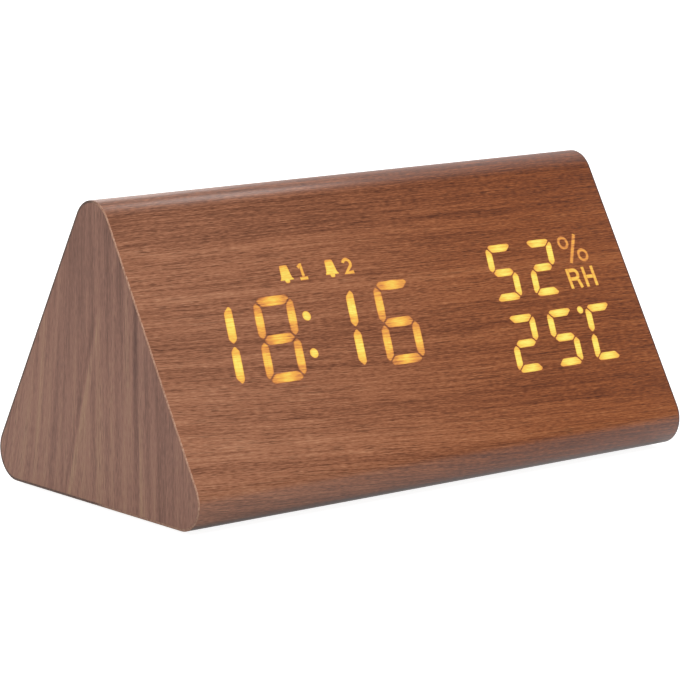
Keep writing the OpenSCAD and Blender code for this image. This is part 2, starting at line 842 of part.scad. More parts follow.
module usb_shell() {
    top = -panel_recess - usb_mouth;
    color("silver") on_controls() translate([0, -usb_row, 0]) difference() {
        plate(usb_size.x, usb_size.y, usb_corner, board_face_z, top);
        plate(usb_size.x - 2 * usb_wall, usb_size.y - 2 * usb_wall, usb_corner - usb_wall,
            top - usb_depth, top + past);
    }
}

module usb_tongue() {
    top = -panel_recess - usb_mouth;
    color("black") on_controls() translate([0, -usb_row, 0])
        block(usb_tongue_size.x, usb_tongue_size.y, top - usb_depth, top - usb_tongue_set_back);
}

module alarm_buzzer() {
    top = board_face_z + buzzer_h;
    color("black") on_controls() translate([-button_pitch, -sensor_row, 0]) difference() {
        bar(buzzer_d, board_face_z, top);
        bar(buzzer_hole_d, top - buzzer_hole_depth, top + past);
    }
}

module humidity_sensor() {
    top = board_face_z + sensor_size.z;
    color("white") on_controls() translate([button_pitch, -sensor_row, 0]) difference() {
        block(sensor_size.x, sensor_size.y, board_face_z, top);
        for (i = [-2:2]) translate([0, i * 2 * sensor_slot, 0])
            block(sensor_size.x - 2 * sensor_border, sensor_slot, top - sensor_slot_depth, top + past);
    }
}

// Battery bay

// Frame of one cell: X along the cell towards its nub
module on_cell(i) {
    turn = i == 0 ? 180 : 0;
    on_bay() translate([0, i * cell_pitch, cell_axis_z]) rotate([0, 0, turn]) children();
}

nub_length = 1;
nub_d = 3.8;
// How far the nub reaches into the can
nub_root = 0.5;
nub_x = bay_length / 2 - plate_t;

module battery_cells() {
    color("steelblue") for (i = [-1:1]) on_cell(i) translate([nub_x, 0, 0]) rotate([0, -90, 0]) {
        bar(nub_d, 0, nub_length + nub_root);
        bar(cell_d, nub_length, cell_length);
    }
}

contact_side = 7.4;
// Solder tail of an end plate, down to where its lead leaves
tail_w = 3;
tail_z = cell_axis_z - channel_r + lead_d / 2;
lead_z = tail_z + lead_d / 2 + 2 * running;

// At each end two plates are bridged to join their cells in series, and one has a tail for its lead
module contact_plates() {
    low = cell_axis_z - contact_side / 2;
    high = cell_axis_z + contact_side / 2;
    color("silver") on_bay() for (end = [-1, 1]) translate([end * (bay_length - plate_t) / 2, 0, 0]) {
        for (i = [-1:1]) translate([0, i * cell_pitch, 0]) block(plate_t, contact_side, low, high);
        translate([0, end * cell_pitch / 2, 0]) block(plate_t, cell_pitch, cell_axis_z + cell_gap, high);
        translate([0, -end * cell_pitch, 0]) block(plate_t, tail_w, tail_z, cell_axis_z);
    }
}

// Round wire along a list of points, with one side vector for each point

wire_sides = 6;
function unit(v) = v / norm(v);

// Heading of the wire at a point: the ends run straight on from their neighbours
function heading(points, i) =
    let (last = len(points) - 1)
    unit(points[min(i + 1, last)] - points[max(i - 1, 0)]);

function wire_ring(p, t, side, d) =
    let (across = unit(cross(t, side)), outward = cross(across, t))
    [
        for (j = [0:wire_sides - 1])
            let (a = 360 * j / wire_sides)
            p + d / 2 * (cos(a) * outward + sin(a) * across)
    ];

module wire(points, side_vectors, d) {
    last = len(points) - 1;
    rings = [for (i = [0:last]) each wire_ring(points[i], heading(points, i), side_vectors[i], d)];
    walls = [
        for (i = [0:last - 1], j = [0:wire_sides - 1])
            let (
                a = i * wire_sides + j,
                b = i * wire_sides + (j + 1) % wire_sides,
                c = a + wire_sides,
                d = b + wire_sides
            )
            each [[a, c, b], [b, c, d]]
    ];
    base = last * wire_sides;
    first_end = [for (j = [1:wire_sides - 2]) [0, j, j + 1]];
    last_end = [for (j = [1:wire_sides - 2]) [base, base + j + 1, base + j]];
    polyhedron(rings, concat(walls, first_end, last_end));
}

// Contact spring: a conical coil on its plate, with straight ends square to what they meet

spring_base_r = 3.3;
spring_tip_r = 2.4;
spring_bend = 1.2 * spring_wire;
spring_rings = 8;
bend_step = 22.5;
spring_mean_r = (spring_base_r + spring_tip_r) / 2;
// Axial length that is left for the coils between the two straight ends and their bends
coil_length = spring_length - 2 * (spring_wire + spring_bend);
coil_arc = 2 * PI * spring_mean_r * spring_turns;

// Path of the wire on the unrolled cone: place along the axis, then place round the cone
spring_path = concat(
    [[0, 0], [spring_wire, 0]],
    [
        for (a = [bend_step:bend_step:90])
            [spring_wire + spring_bend * sin(a), spring_bend * (1 - cos(a))]
    ],
    [
        for (i = [1:spring_turns * spring_rings - 1])
            let (s = i / (spring_turns * spring_rings))
            [spring_wire + spring_bend + s * coil_length, spring_bend + s * coil_arc]
    ],
    [
        for (a = [90:-bend_step:0])
            [spring_length - spring_wire - spring_bend * sin(a), coil_arc + spring_bend * (1 + cos(a))]
    ],
    [[spring_length, coil_arc + 2 * spring_bend]]
);
function cone_r(x) = spring_base_r + (spring_tip_r - spring_base_r) * x / spring_length;
function on_cone(p) =
    let (r = cone_r(p.x), a = p.y / spring_mean_r * 180 / PI)
    [p.x, r * cos(a), r * sin(a)];
// The two ends keep their neighbour's radius, so that they run straight along the axis
function straightened(points) =
    let (last = len(points) - 1)
    [
        for (i = [0:last])
            i == 0 ? [points[0].x, points[1].y, points[1].z] :
            i == last ? [points[last].x, points[last - 1].y, points[last - 1].z] :
            points[i]
    ];
spring_points = straightened([for (p = spring_path) on_cone(p)]);
spring_sides = [for (p = spring_points) [0, p.y, p.z]];

// Least clear gap of the wire to itself, over points more than half a turn apart
spring_gap = min([
    for (i = [0:len(spring_points) - 1], j = [0:len(spring_points) - 1])
        if (j - i > spring_rings / 2 + 3) norm(spring_points[i] - spring_points[j])
]) - spring_wire;

module battery_springs() {
    echo(spring_gap = spring_gap);
    color("silver") for (i = [-1:1]) on_cell(i)
        translate([-bay_length / 2 + plate_t, 0, 0]) wire(spring_points, spring_sides, spring_wire);
}

// Leads from the two tailed plates to the back of the control board

lead_bend = lead_d * 1.1;
lead_drop = lead_d;
// Where the leads meet the board, along the bay's own length
lead_inset = 5;
lead_end_x = control_x - bay_x - board_w / 2 + lead_inset;

// Route with every square corner rounded
function rounded_route(route) = [
    for (i = [0:len(route) - 1])
        if (i == 0 || i == len(route) - 1) route[i]
        else
            let (
                p = route[i],
                u = unit(route[i - 1] - p) * lead_bend,
                v = unit(route[i + 1] - p) * lead_bend
            )
            for (a = [0:bend_step:90]) p + u + v - v * cos(a) - u * sin(a)
];

module lead(route) {
    points = rounded_route(route);
    wire(points, [for (p = points) [0, 1, 0]], lead_d);
}

module battery_leads() {
    start = bay_length / 2;
    near_y = -cell_pitch;
    far_y = cell_pitch;
    under_z = bay_floor_z - lead_drop;
    far_x = -bay_outer_w / 2 - 2 * lead_bend;
    color("firebrick") on_bay() {
        lead([[start, near_y, lead_z], [lead_end_x, near_y, lead_z], [lead_end_x, near_y, board_back_z]]);
        lead([
            [-start, far_y, lead_z], [far_x, far_y, lead_z], [far_x, far_y, under_z],
            [lead_end_x, far_y, under_z], [lead_end_x, far_y, board_back_z]
        ]);
    }
}

// Door that swings out on two pegs at its lower edge, with a snap tongue at its upper edge
tongue_w = 12;
tongue_length = 8;
tongue_slot = 0.8;
grip_count = 4;
grip_pitch = 1.6;
grip_w = 9.6;
grip_depth = 0.5;
// Distance of the lowest grip groove from the door's upper edge
grip_start = 6;
rib_w = 1;
rib_h = 0.4;

module battery_door() {
    back = -panel_recess - door_t;
    top = door_h / 2;
    color("dimgray") on_bay() difference() {
        union() {
            translate([-door_w / 2, hinge_y, back]) cube([door_w, door_h - door_t / 2, door_t]);
            translate([0, hinge_y, hinge_z]) rotate([0, 90, 0]) bar(door_t, -door_w / 2, door_w / 2);
            translate([0, hinge_y, hinge_z]) rotate([0, 90, 0])
                bar(peg_d, -door_w / 2 - peg_reach, door_w / 2 + peg_reach);
            for (side = [-1, 1]) translate([side * bay_length / 4, 0, 0])
                block(rib_w, 2 * cell_pitch, back - rib_h, back + rib_h);
        }
        for (side = [-1, 1]) translate([side * (tongue_w + tongue_slot) / 2, top - tongue_length / 2, 0])
            block(tongue_slot, tongue_length + past, back - past, past);
        for (i = [0:grip_count - 1]) translate([0, top - grip_start + i * grip_pitch, 0])
            block(grip_w, grip_pitch / 2, -panel_recess - grip_depth, past);
    }
}

module set_button() {
    button(-1);
}

module up_button() {
    button(0);
}

module down_button() {
    button(1);
}

veneer_wrap();
end_veneer(-1);  // left_end_veneer
end_veneer(1);  // right_end_veneer
case_sleeve();
end_panel(-1);  // left_end_panel
end_panel(1);  // right_end_panel
rubber_feet();
time_windows();
humidity_windows();
temperature_windows();
display_reflector();
segment_lenses();
display_board();
display_leds();
display_screws();
ribbon_cable();
ribbon_plugs();
rear_panel();
panel_screws();
control_board();
board_screws();
control_chip();
quartz_crystal();
smoothing_capacitor();
switch_housings();
usb_shell();
usb_tongue();
alarm_buzzer();
humidity_sensor();
battery_cells();
battery_springs();
contact_plates();
battery_leads();
battery_door();
set_button();
up_button();
down_button();
plunger(-1);  // set_plunger
plunger(0);  // up_plunger
plunger(1);  // down_plunger
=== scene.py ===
import math
from itertools import accumulate

import bmesh
import bpy
from mathutils import Matrix, Vector


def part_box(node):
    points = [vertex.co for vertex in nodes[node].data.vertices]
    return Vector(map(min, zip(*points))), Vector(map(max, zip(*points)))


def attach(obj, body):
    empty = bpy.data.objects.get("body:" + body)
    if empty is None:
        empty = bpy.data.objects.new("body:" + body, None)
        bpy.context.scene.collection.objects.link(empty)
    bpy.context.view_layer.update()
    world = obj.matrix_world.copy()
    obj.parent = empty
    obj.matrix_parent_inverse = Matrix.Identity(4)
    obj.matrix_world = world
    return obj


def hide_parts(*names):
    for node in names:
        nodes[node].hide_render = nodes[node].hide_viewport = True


# Three-sided digital alarm clock: a case in walnut film, with lit figures that shine through the film,
# and a moulded control panel with a battery bay in the rear slope. Lengths are in metres.

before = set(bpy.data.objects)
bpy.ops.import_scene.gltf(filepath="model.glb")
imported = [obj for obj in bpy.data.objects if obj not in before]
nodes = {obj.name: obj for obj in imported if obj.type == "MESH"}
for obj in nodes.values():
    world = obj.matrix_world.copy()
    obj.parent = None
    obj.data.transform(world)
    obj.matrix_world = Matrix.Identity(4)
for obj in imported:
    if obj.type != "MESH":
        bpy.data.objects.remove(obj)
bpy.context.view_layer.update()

MM = 0.001

# Case and film
EDGE_R = 7 * MM
FILM_T = 0.6 * MM
SEAM_W = 0.3 * MM
FILM_BEVEL = 0.1 * MM
ARC_STEPS = 24
wrap_low, wrap_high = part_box("veneer_wrap")
HALF_LENGTH = wrap_high.x
INRADIUS = (wrap_high.z - wrap_low.z + EDGE_R) / 3
MIDDLE = Vector((0, 0, wrap_low.z + INRADIUS))
FLAT_HALF = (INRADIUS - EDGE_R) * math.sqrt(3)

# Display and rear panel: how far down their slopes they sit, and the panel's corners and opening
DISPLAY_DROP = 1 * MM
PANEL_DROP = 3 * MM
PANEL_R = 4 * MM
PANEL_GAP = 0.2 * MM
CUT_REACH = 2 * MM


def on_slope(spin, drop=0.0):
    """Frame of the front or rear face: X along the ridge, Y up the slope, Z out of the face."""
    turn = Matrix.Rotation(spin, 4, "Z") @ Matrix.Rotation(math.radians(60), 4, "X")
    return Matrix.Translation(MIDDLE) @ turn @ Matrix.Translation((0, -drop, INRADIUS))


FRONT = on_slope(0)
DISPLAY = on_slope(0, DISPLAY_DROP)
PANEL = on_slope(math.pi, PANEL_DROP)


# Mesh helpers

SHARP_ANGLE = 35
WELD_REACH = 0.001 * MM


def placed(name, data):
    """Puts a new object into the scene."""
    holder = bpy.data.objects.new(name, data)
    bpy.context.scene.collection.objects.link(holder)
    return holder


def smooth(mesh, sharp_angle):
    """Makes a mesh's faces smooth, with sharp edges past an angle."""
    mesh.shade_smooth()
    mesh.set_sharp_from_angle(angle=math.radians(sharp_angle))


def mesh_of(bm, name, sharp_angle=SHARP_ANGLE):
    """Turns a bmesh into a smooth mesh, with all faces outwards."""
    bmesh.ops.recalc_face_normals(bm, faces=bm.faces)
    mesh = bpy.data.meshes.new(name)
    bm.to_mesh(mesh)
    bm.free()
    smooth(mesh, sharp_angle)
    return mesh


def piece_of(name, bm, looks, body="case", stands_for=(), sharp_angle=SHARP_ANGLE):
    """Makes a piece from a bmesh, gives it its materials and lets it ride on its body."""
    piece = placed(name, mesh_of(bm, name, sharp_angle))
    for look in looks:
        piece.data.materials.append(look.holder)
    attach(piece, body)
    if stands_for:
        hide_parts(*stands_for)
    return piece


def apply_modifiers(piece):
    """Replaces a piece's mesh by the one that its modifiers make."""
    graph = bpy.context.evaluated_depsgraph_get()
    piece.data = bpy.data.meshes.new_from_object(piece.evaluated_get(graph))
    piece.modifiers.clear()
    smooth(piece.data, SHARP_ANGLE)


def solids_of(node, place):
    """Corner points of each separate solid of a CAD node, in the frame given."""
    bm = bmesh.new()
    bm.from_mesh(nodes[node].data)
    bmesh.ops.remove_doubles(bm, verts=bm.verts, dist=WELD_REACH)
    back = place.inverted()
    found = []
    waiting = set(bm.verts)
    while waiting:
        island = []
        front = [waiting.pop()]
        while front:
            vert = front.pop()
            island.append(back @ vert.co)
            for edge in vert.link_edges:
                other = edge.other_vert(vert)
                if other in waiting:
                    waiting.discard(other)
                    front.append(other)
        found.append(island)
    bm.free()
    return found


def box_of(points):
    """Lowest and highest corner of a list of points."""
    low = Vector([min(p[i] for p in points) for i in range(3)])
    high = Vector([max(p[i] for p in points) for i in range(3)])
    return low, high


def middle_of(points):
    """Mean of a list of flat points."""
    return sum(points, Vector((0, 0))) / len(points)


def arc(centre, radius, start, end, steps):
    """Points on an arc, with its angles in degrees."""
    angles = [math.radians(start + (end - start) * i / steps) for i in range(steps + 1)]
    return [(centre[0] + radius * math.cos(a), centre[1] + radius * math.sin(a)) for a in angles]


def full_turn(count):
    """Evenly spaced angles all round, in radians."""
    return [2 * math.pi * i / count for i in range(count)]


def rounded_rect(width, height, radius, steps):
    """Outline of a rectangle with round corners."""
    x, y = width / 2 - radius, height / 2 - radius
    corners = [((x, y), 0), ((-x, y), 90), ((-x, -y), 180), ((x, -y), 270)]
    return [p for centre, start in corners for p in arc(centre, radius, start, start + 90, steps)]


def add_face(bm, corners):
    """Adds a face, each corner once, unless fewer than three are left."""
    corners = list(dict.fromkeys(corners))
    if len(corners) > 2:
        bm.faces.new(corners)


def add_solid(bm, rows, closed=False):
    """Adds a solid through rows of vertices, each round it or one point, with its ends capped or joined."""
    pairs = list(zip(rows, rows[1:]))
    if closed:
        pairs.append((rows[-1], rows[0]))
    else:
        add_face(bm, reversed(rows[0]))
        add_face(bm, rows[-1])
    for a, b in pairs:
        count = max(len(a), len(b))
        for i in range(count):
            j = (i + 1) % count
            add_face(bm, (a[i % len(a)], a[j % len(a)], b[j % len(b)], b[i % len(b)]))


def add_prism(bm, outline, low, high, place):
    """Adds a prism with that outline to a bmesh."""
    add_solid(bm, [[bm.verts.new(place @ Vector((x, y, z))) for x, y in outline] for z in (low, high)])


def add_lathe(bm, profile, place, steps=64, closed=False):
    """Adds a turned form to a bmesh. Its profile, (radius, height), runs from axis to axis or is closed."""
    rows = []
    for r, z in profile:
        turns = full_turn(steps if r > 0 else 1)
        rows.append([bm.verts.new(place @ Vector((r * math.cos(a), r * math.sin(a), z))) for a in turns])
    add_solid(bm, rows, closed)


def add_tube(bm, points, sides, radius):
    """Adds a round wire along a list of points, with flat ends."""
    rows = []
    side = None
    for i, point in enumerate(points):
        heading = (points[min(i + 1, len(points) - 1)] - points[max(i - 1, 0)]).normalized()
        if side is None:
            side = heading.orthogonal()
        side = (side - heading * side.dot(heading)).normalized()
        across = heading.cross(side)
        ways = [math.cos(a) * side + math.sin(a) * across for a in full_turn(sides)]
        rows.append([bm.verts.new(point + radius * way) for way in ways])
    add_solid(bm, rows)


# Materials

def srgb(red, green, blue):
    """Linear colour of an 8-bit screen colour."""
    linear = []
    for value in (red, green, blue):
        share = value / 255
        linear.append(share / 12.92 if share <= 0.04045 else ((share + 0.055) / 1.055) ** 2.4)
    return (*linear, 1.0)


class Look:
    """A procedural material round one Principled shader, or a world, with short ways to add nodes."""

    def __init__(self, name, world=False, **inputs):
        self.holder = bpy.data.worlds.new(name) if world else bpy.data.materials.new(name)
        self.holder.use_nodes = True
        self.tree = self.holder.node_tree
        self.shader = self.tree.nodes["Background" if world else "Principled BSDF"]
        self.shade(**inputs)

    def feed(self, node, inputs):
        """Sets or links a node's inputs, by name or by number."""
        for name, value in inputs.items():
            if isinstance(value, bpy.types.NodeSocket):
                self.tree.links.new(value, node.inputs[name])
            else:
                node.inputs[name].default_value = value

    def shade(self, **inputs):
        """Sets or links the shader's inputs, named in small letters with underscores."""
        names = {socket.name.lower().replace(" ", "_"): socket.name for socket in self.shader.inputs}
        self.feed(self.shader, {names[key]: value for key, value in inputs.items()})

    def add(self, kind, inputs, output=0, **settings):
        """Adds a node and gives one of its outputs."""
        node = self.tree.nodes.new("ShaderNode" + kind)
        for name, value in settings.items():
            setattr(node, name, value)
        self.feed(node, inputs)
        return node.outputs[output]

    def place(self):
        """Place on the object, in millimetres."""
        return self.stretched(self.add("TexCoord", {}, "Object"), (1 / MM, 1 / MM, 1 / MM))

    def film_place(self):
        """Place on the unrolled film: along the ridge and round the case, in millimetres."""
        return self.stretched(self.add("UVMap", {}, "UV", uv_map="film"), (1 / MM, 1 / MM, 1 / MM))

    def attribute(self, name):
        return self.add("Attribute", {}, "Fac", attribute_name=name)

    def stretched(self, vector, scale, shift=(0, 0, 0)):
        return self.add("Mapping", {"Vector": vector, "Scale": scale, "Location": shift})

    def parts(self, vector):
        return self.add("SeparateXYZ", {0: vector}).node.outputs

    def joined(self, x, y):
        return self.add("CombineXYZ", {0: x, 1: y})

    def noise(self, vector, detail=2.0, roughness=0.5):
        return self.add("TexNoise", {"Vector": vector, "Scale": 1, "Detail": detail, "Roughness": roughness})

    def speckle(self, scale, detail=2.0, roughness=0.5):
        """Noise on the object, with its scale per millimetre: one number, or one for each axis."""
        scales = scale if isinstance(scale, tuple) else (scale, scale, scale)
        return self.noise(self.stretched(self.place(), scales), detail, roughness)

    def strips(self, along, across, length, width, detail):
        """Noise drawn out along the grain, with its length and width in millimetres."""
        return self.noise(self.joined(self.times(along, 1 / length), self.times(across, 1 / width)), detail)

    def math(self, operation, a, b, c=0.0):
        return self.add("Math", {0: a, 1: b, 2: c}, operation=operation)

    def times(self, first, *others):
        """Product of several values."""
        product = first
        for value in others:
            product = self.math("MULTIPLY", product, value)
        return product

    def spread(self, value, low, high, to_low=0.0, to_high=1.0):
        """Smooth step of a value between two limits."""
        inputs = {0: value, 1: low, 2: high, 3: to_low, 4: to_high}
        return self.add("MapRange", inputs, interpolation_type="SMOOTHSTEP")

    def weighed(self, *pairs):
        """0.5 plus the weighed departures of several noises from 0.5."""
        total = 0.5 - sum(weight for _, weight in pairs) / 2
        for value, weight in pairs:
            total = self.math("MULTIPLY_ADD", value, weight, total)
        return total

    def ramp(self, value, stops):
        output = self.add("ValToRGB", {"Fac": value}, "Color")
        elements = output.node.color_ramp.elements
        elements[0].position, elements[-1].position = stops[0][0], stops[-1][0]
        elements[0].color, elements[-1].color = stops[0][1], stops[-1][1]
        for position, colour in stops[1:-1]:
            elements.new(position).color = colour
        return output

    def tints(self, value, *stops):
        """Colours over a value, from stops of a position and an 8-bit screen colour."""
        return self.ramp(value, [(position, srgb(*colour)) for position, *colour in stops])

    def tones(self, value, stops):
        """Greys over a value, from stops of a position and a tone."""
        return self.ramp(value, [(position, (tone, tone, tone, 1)) for position, tone in stops])

    def mixed(self, factor, a, b):
        """Mix of two colours, each linked or given as an 8-bit screen colour."""
        colours = [srgb(*colour) if isinstance(colour, tuple) else colour for colour in (a, b)]
        return self.add("Mix", {0: factor, 6: colours[0], 7: colours[1]}, 2, data_type="RGBA")

    def bump(self, height, strength, distance, edge=None):
        """Relief, on edges that look rounded to a radius if one is given."""
        inputs = {"Height": height, "Strength": strength, "Distance": distance}
        if edge:
            inputs["Normal"] = self.add("Bevel", {"Radius": edge}, samples=4)
        return self.add("Bump", inputs)

    def corners(self, reach):
        """1 on open faces, less in recesses and gaps, where painted shade and dust darken the colour."""
        open_share = self.add("AmbientOcclusion", {"Distance": reach}, "AO", samples=8)
        return self.spread(open_share, 0.2, 0.75, 0.15, 1.0)


# Walnut: shade of its veins and pores, the pores' share of the relief, and the relief's depth
VEIN_SHADE = 0.4
PORE_SHADE = 0.52
PORE_DEPTH = 0.8
GRAIN_DEPTH = 0.06 * MM


def grain(look, along, across):
    """Walnut figure, from places along and across it: bands, lines, fibres, pores and veins, 0 to 1."""

    def swayed(place, length, width, reach, detail):
        return look.math("MULTIPLY_ADD", look.strips(along, place, length, width, detail), reach, place)

    vector = look.joined(along, swayed(swayed(across, 120, 40, 4.0, 1.5), 14, 2.4, 0.35, 1.0))

    def streaks(length, width, seed, detail=2.0, roughness=0.5):
        drawn_out = look.stretched(vector, (1 / length, 1 / width, 1), (seed, 3 * seed, 0))
        return look.noise(drawn_out, detail, roughness)

    bands = streaks(190, 7, 2, 1.5)
    lines = streaks(60, 0.8, 7, 3, 0.6)
    fibres = look.weighed((streaks(11, 0.24, 3, 2, 0.55), 0.72), (streaks(1.7, 0.22, 17, 1), 0.72))
    dashes = look.spread(streaks(4.4, 0.25, 5, 1), 0.56, 0.66)
    pores = look.times(dashes, look.spread(streaks(34, 2.6, 11, 1), 0.32, 0.58))
    veins = look.spread(streaks(24, 0.5, 13, 1.5), 0.6, 0.72)
    return bands, lines, fibres, pores, veins


def walnut(look, figure, colour, dark, relief=0.12):
    """Pores and veins, gloss and relief of walnut film, from its figure and its colour without them."""
    _, lines, fibres, pores, veins = figure
    colour = look.mixed(look.times(veins, VEIN_SHADE), colour, dark)
    colour = look.mixed(look.times(pores, PORE_SHADE), colour, dark)
    height = look.math("SUBTRACT", fibres, look.times(pores, PORE_DEPTH))
    look.shade(
        base_color=colour,
        roughness=look.math("MULTIPLY_ADD", lines, 0.16, 0.36),
        normal=look.bump(height, relief, GRAIN_DEPTH),
    )


def leaning(look, along, across):
    """Places along and across grain that runs down to the right, more so low down and at the left."""
    reach = look.times(look.math("MULTIPLY_ADD", along, -0.003, 1), along)
    lean = look.math("MULTIPLY_ADD", across, -0.001, 0.04)
    return along, look.math("MULTIPLY_ADD", reach, lean, across)


# Pale and dark bands of the film across its grain: place in millimetres from the front's middle, tone
FIGURE_BANDS = (
    (-40, 0.62), (-33.5, 0.48), (-32.5, 0.62), (-27, 0.63), (-24.5, 0.5), (-15.5, 0.58), (-11, 0.48),
    (-8.5, 0.48), (-7.5, 0.59), (-4.5, 0.46), (-3, 0.46), (2.5, 0.56), (7.5, 0.56), (9.5, 0.7), (11.5, 0.53),
    (19.5, 0.51), (21.5, 0.62), (24, 0.46), (40, 0.42),
)
BAND_REACH = 40

# Where the long film changes, in millimetres: along the ridge, or round the case from the front's middle
# Painted sheen: paler, greyer film at the left, fading out towards the redder right
PAINTED_SHEEN_SPAN = (-85, 70)
# Painted shadow along the film's right rim
PAINTED_RIM_SHADOW_SPAN = (HALF_LENGTH / MM - 0.7, HALF_LENGTH / MM - 0.2)
# Painted shade on the lower fold, and a little on the ridge
PAINTED_FOOT_SHADE = (-34.5, -37.5)
PAINTED_RIDGE_SHADE = (32, 35)
# Painted contact shadow on the lowest part of the lower fold, fading out on the base
CONTACT_SHADOW_START = (-40.8, -43.6)
CONTACT_SHADOW_END = (-51, -47)
RIDGE_GLOSS_START = (32.5, 35.5)
RIDGE_GLOSS_END = (45, 48)
RIDGE_GLOSS_ALONG = (20, 75)
FOOT_GLOSS_START = (-34.6, -36.8)
FOOT_GLOSS_FADE = (-38, -43.5)
FOOT_GLOSS_ALONG = (-60, 40)

# How strongly it changes there: the painted sheen, the painted shadows, and the gloss
PAINTED_SHEEN_SHARE = 0.8
PAINTED_RIM_SHADOW = 0.75
PAINTED_CONTACT_SHADOW = 0.85
RIDGE_GLOSS = 0.33
RIDGE_GLOSS_RIGHT = 0.7
FOOT_GLOSS = (0.44, 0.33)
FOOT_GLOSS_LOW = 0.3


def film_bands(look, width):
    """Broad bands of the film, which mirror themselves round the case."""
    whole = 2 * BAND_REACH
    folded = look.math("PINGPONG", look.math("ADD", width, BAND_REACH), whole)
    stops = [((place + BAND_REACH) / whole, tone) for place, tone in FIGURE_BANDS]
    return look.tones(look.times(folded, 1 / whole), stops)


def painted_fold_shade(look, across):
    """Painted shade: darker film on the lower fold and a little darker on the ridge, 0.5 elsewhere."""
    lower = look.spread(across, *PAINTED_FOOT_SHADE, 0.5, 0.36)
    return look.math("SUBTRACT", lower, look.spread(across, *PAINTED_RIDGE_SHADE, 0, 0.07))


def fold_gloss(look, along, across):
    """Weight of the gloss on the ridge and on the lower front edge."""
    ridge = look.math("MINIMUM", look.spread(across, *RIDGE_GLOSS_START, 0, RIDGE_GLOSS),
                      look.spread(across, *RIDGE_GLOSS_END, RIDGE_GLOSS, 0))
    ridge = look.times(ridge, look.spread(along, *RIDGE_GLOSS_ALONG, 1, RIDGE_GLOSS_RIGHT))
    foot = look.times(
        look.spread(across, *FOOT_GLOSS_START),
        look.spread(along, *FOOT_GLOSS_ALONG, *FOOT_GLOSS),
        look.spread(across, *FOOT_GLOSS_FADE, 1, FOOT_GLOSS_LOW),
    )
    return look.math("MAXIMUM", ridge, foot)


def wood_film():
    """Walnut film with its grain along the ridge, glossier on the rounded edges, paler at the left under
    painted sheen and redder to the right, with painted shade and shadow on its folds, right rim and
    underside.
    """
    look = Look("wood_film", specular_ior_level=0.1, coat_roughness=0.28, coat_ior=1.65)
    along, across, _ = look.parts(look.film_place())
    length, width = leaning(look, along, across)
    figure = grain(look, length, width)
    bands, lines, fibres, _, _ = figure
    # The fold term adds painted shade to the lower fold and the ridge
    tone = look.weighed((bands, 0.2), (lines, 0.55), (fibres, 1.0), (film_bands(look, width), 0.9),
                        (painted_fold_shade(look, across), 0.9))
    red = look.tints(tone, (0.16, 72, 32, 14), (0.36, 102, 51, 24), (0.52, 130, 70, 36),
                     (0.68, 150, 86, 47), (0.9, 172, 107, 64))
    # Paler, greyer colours for the painted sheen
    pale = look.tints(tone, (0.16, 96, 58, 42), (0.36, 128, 84, 62), (0.52, 151, 102, 77),
                      (0.68, 168, 119, 92), (0.9, 188, 141, 112))
    # Painted sheen at the left, fading out towards the red film at the right
    colour = look.mixed(look.spread(along, *PAINTED_SHEEN_SPAN, PAINTED_SHEEN_SHARE, 0), red, pale)
    # Painted shadow along the right rim
    colour = look.mixed(look.spread(along, *PAINTED_RIM_SHADOW_SPAN, 0, PAINTED_RIM_SHADOW), colour, (78, 56, 56))
    # Painted contact shadow on the lowest part of the fold, fading out on the base
    contact_shadow_end = look.spread(across, *CONTACT_SHADOW_END, 0, PAINTED_CONTACT_SHADOW)
    contact_shadow = look.times(look.spread(across, *CONTACT_SHADOW_START), contact_shadow_end)
    colour = look.mixed(contact_shadow, colour, (36, 24, 20))
    walnut(look, figure, colour, (58, 28, 16))
    look.shade(coat_weight=fold_gloss(look, along, across))
    return look


# Film on the ends: its grain's lean behind the middle, and its olive lines' places in millimetres
END_LEAN = 0.008
LEANING_LINE = 12.5
LEANING_LINE_SLOPE = 0.3
LEANING_LINE_FADE = (38, 50)
UPRIGHT_LINE = -16.9
OLIVE_REACH = 5
OLIVE_TONES = (
    (0, 0.5), (0.24, 0.52), (0.36, 0.66), (0.44, 0.64), (0.5, 0.46), (0.57, 0.37), (0.68, 0.48), (1, 0.5),
)


def olive_line(look, place, strength):
    """A pale line with a dark one behind it, across a place in millimetres, 0.5 away from them."""
    linear = look.add("MapRange", {0: place, 1: -OLIVE_REACH, 2: OLIVE_REACH})
    line = look.tones(linear, OLIVE_TONES)
    return look.math("MULTIPLY_ADD", look.math("SUBTRACT", line, 0.5), strength, 0.5)


def end_film():
    """Walnut film on the ends: upright grain, with one leaning and one upright olive line in it."""
    look = Look("end_film", specular_ior_level=0.16)
    _, depth, up = look.parts(look.place())
    # Behind the middle the grain leans forwards as it rises
    lean = look.times(look.math("MAXIMUM", depth, 0), up, END_LEAN)
    across = look.math("ADD", depth, lean)
    figure = grain(look, up, across)
    _, lines, fibres, _, _ = figure
    stripes = look.strips(up, across, 90, 3.4, 1.5)
    # The leaning line fades towards its top, and the other one stands in front of the middle
    limb = look.math("MULTIPLY_ADD", up, LEANING_LINE_SLOPE, look.math("SUBTRACT", depth, LEANING_LINE))
    first = olive_line(look, limb, look.spread(up, *LEANING_LINE_FADE, 1, 0))
    second = olive_line(look, look.math("SUBTRACT", depth, UPRIGHT_LINE), 1)
    front = look.spread(depth, -10, -32, 0.5, 0.43)
    upper = look.spread(up, 8, 64, 0.53, 0.44)
    tone = look.weighed((stripes, 0.62), (lines, 0.16), (fibres, 0.6), (first, 1.0), (second, 1.0),
                        (front, 1.0), (upper, 1.0))
    colour = look.tints(tone, (0.2, 97, 65, 54), (0.38, 126, 89, 75), (0.52, 146, 106, 90),
                        (0.66, 157, 120, 98), (0.86, 172, 136, 108))
    walnut(look, figure, colour, (84, 56, 48), relief=0.1)
    return look


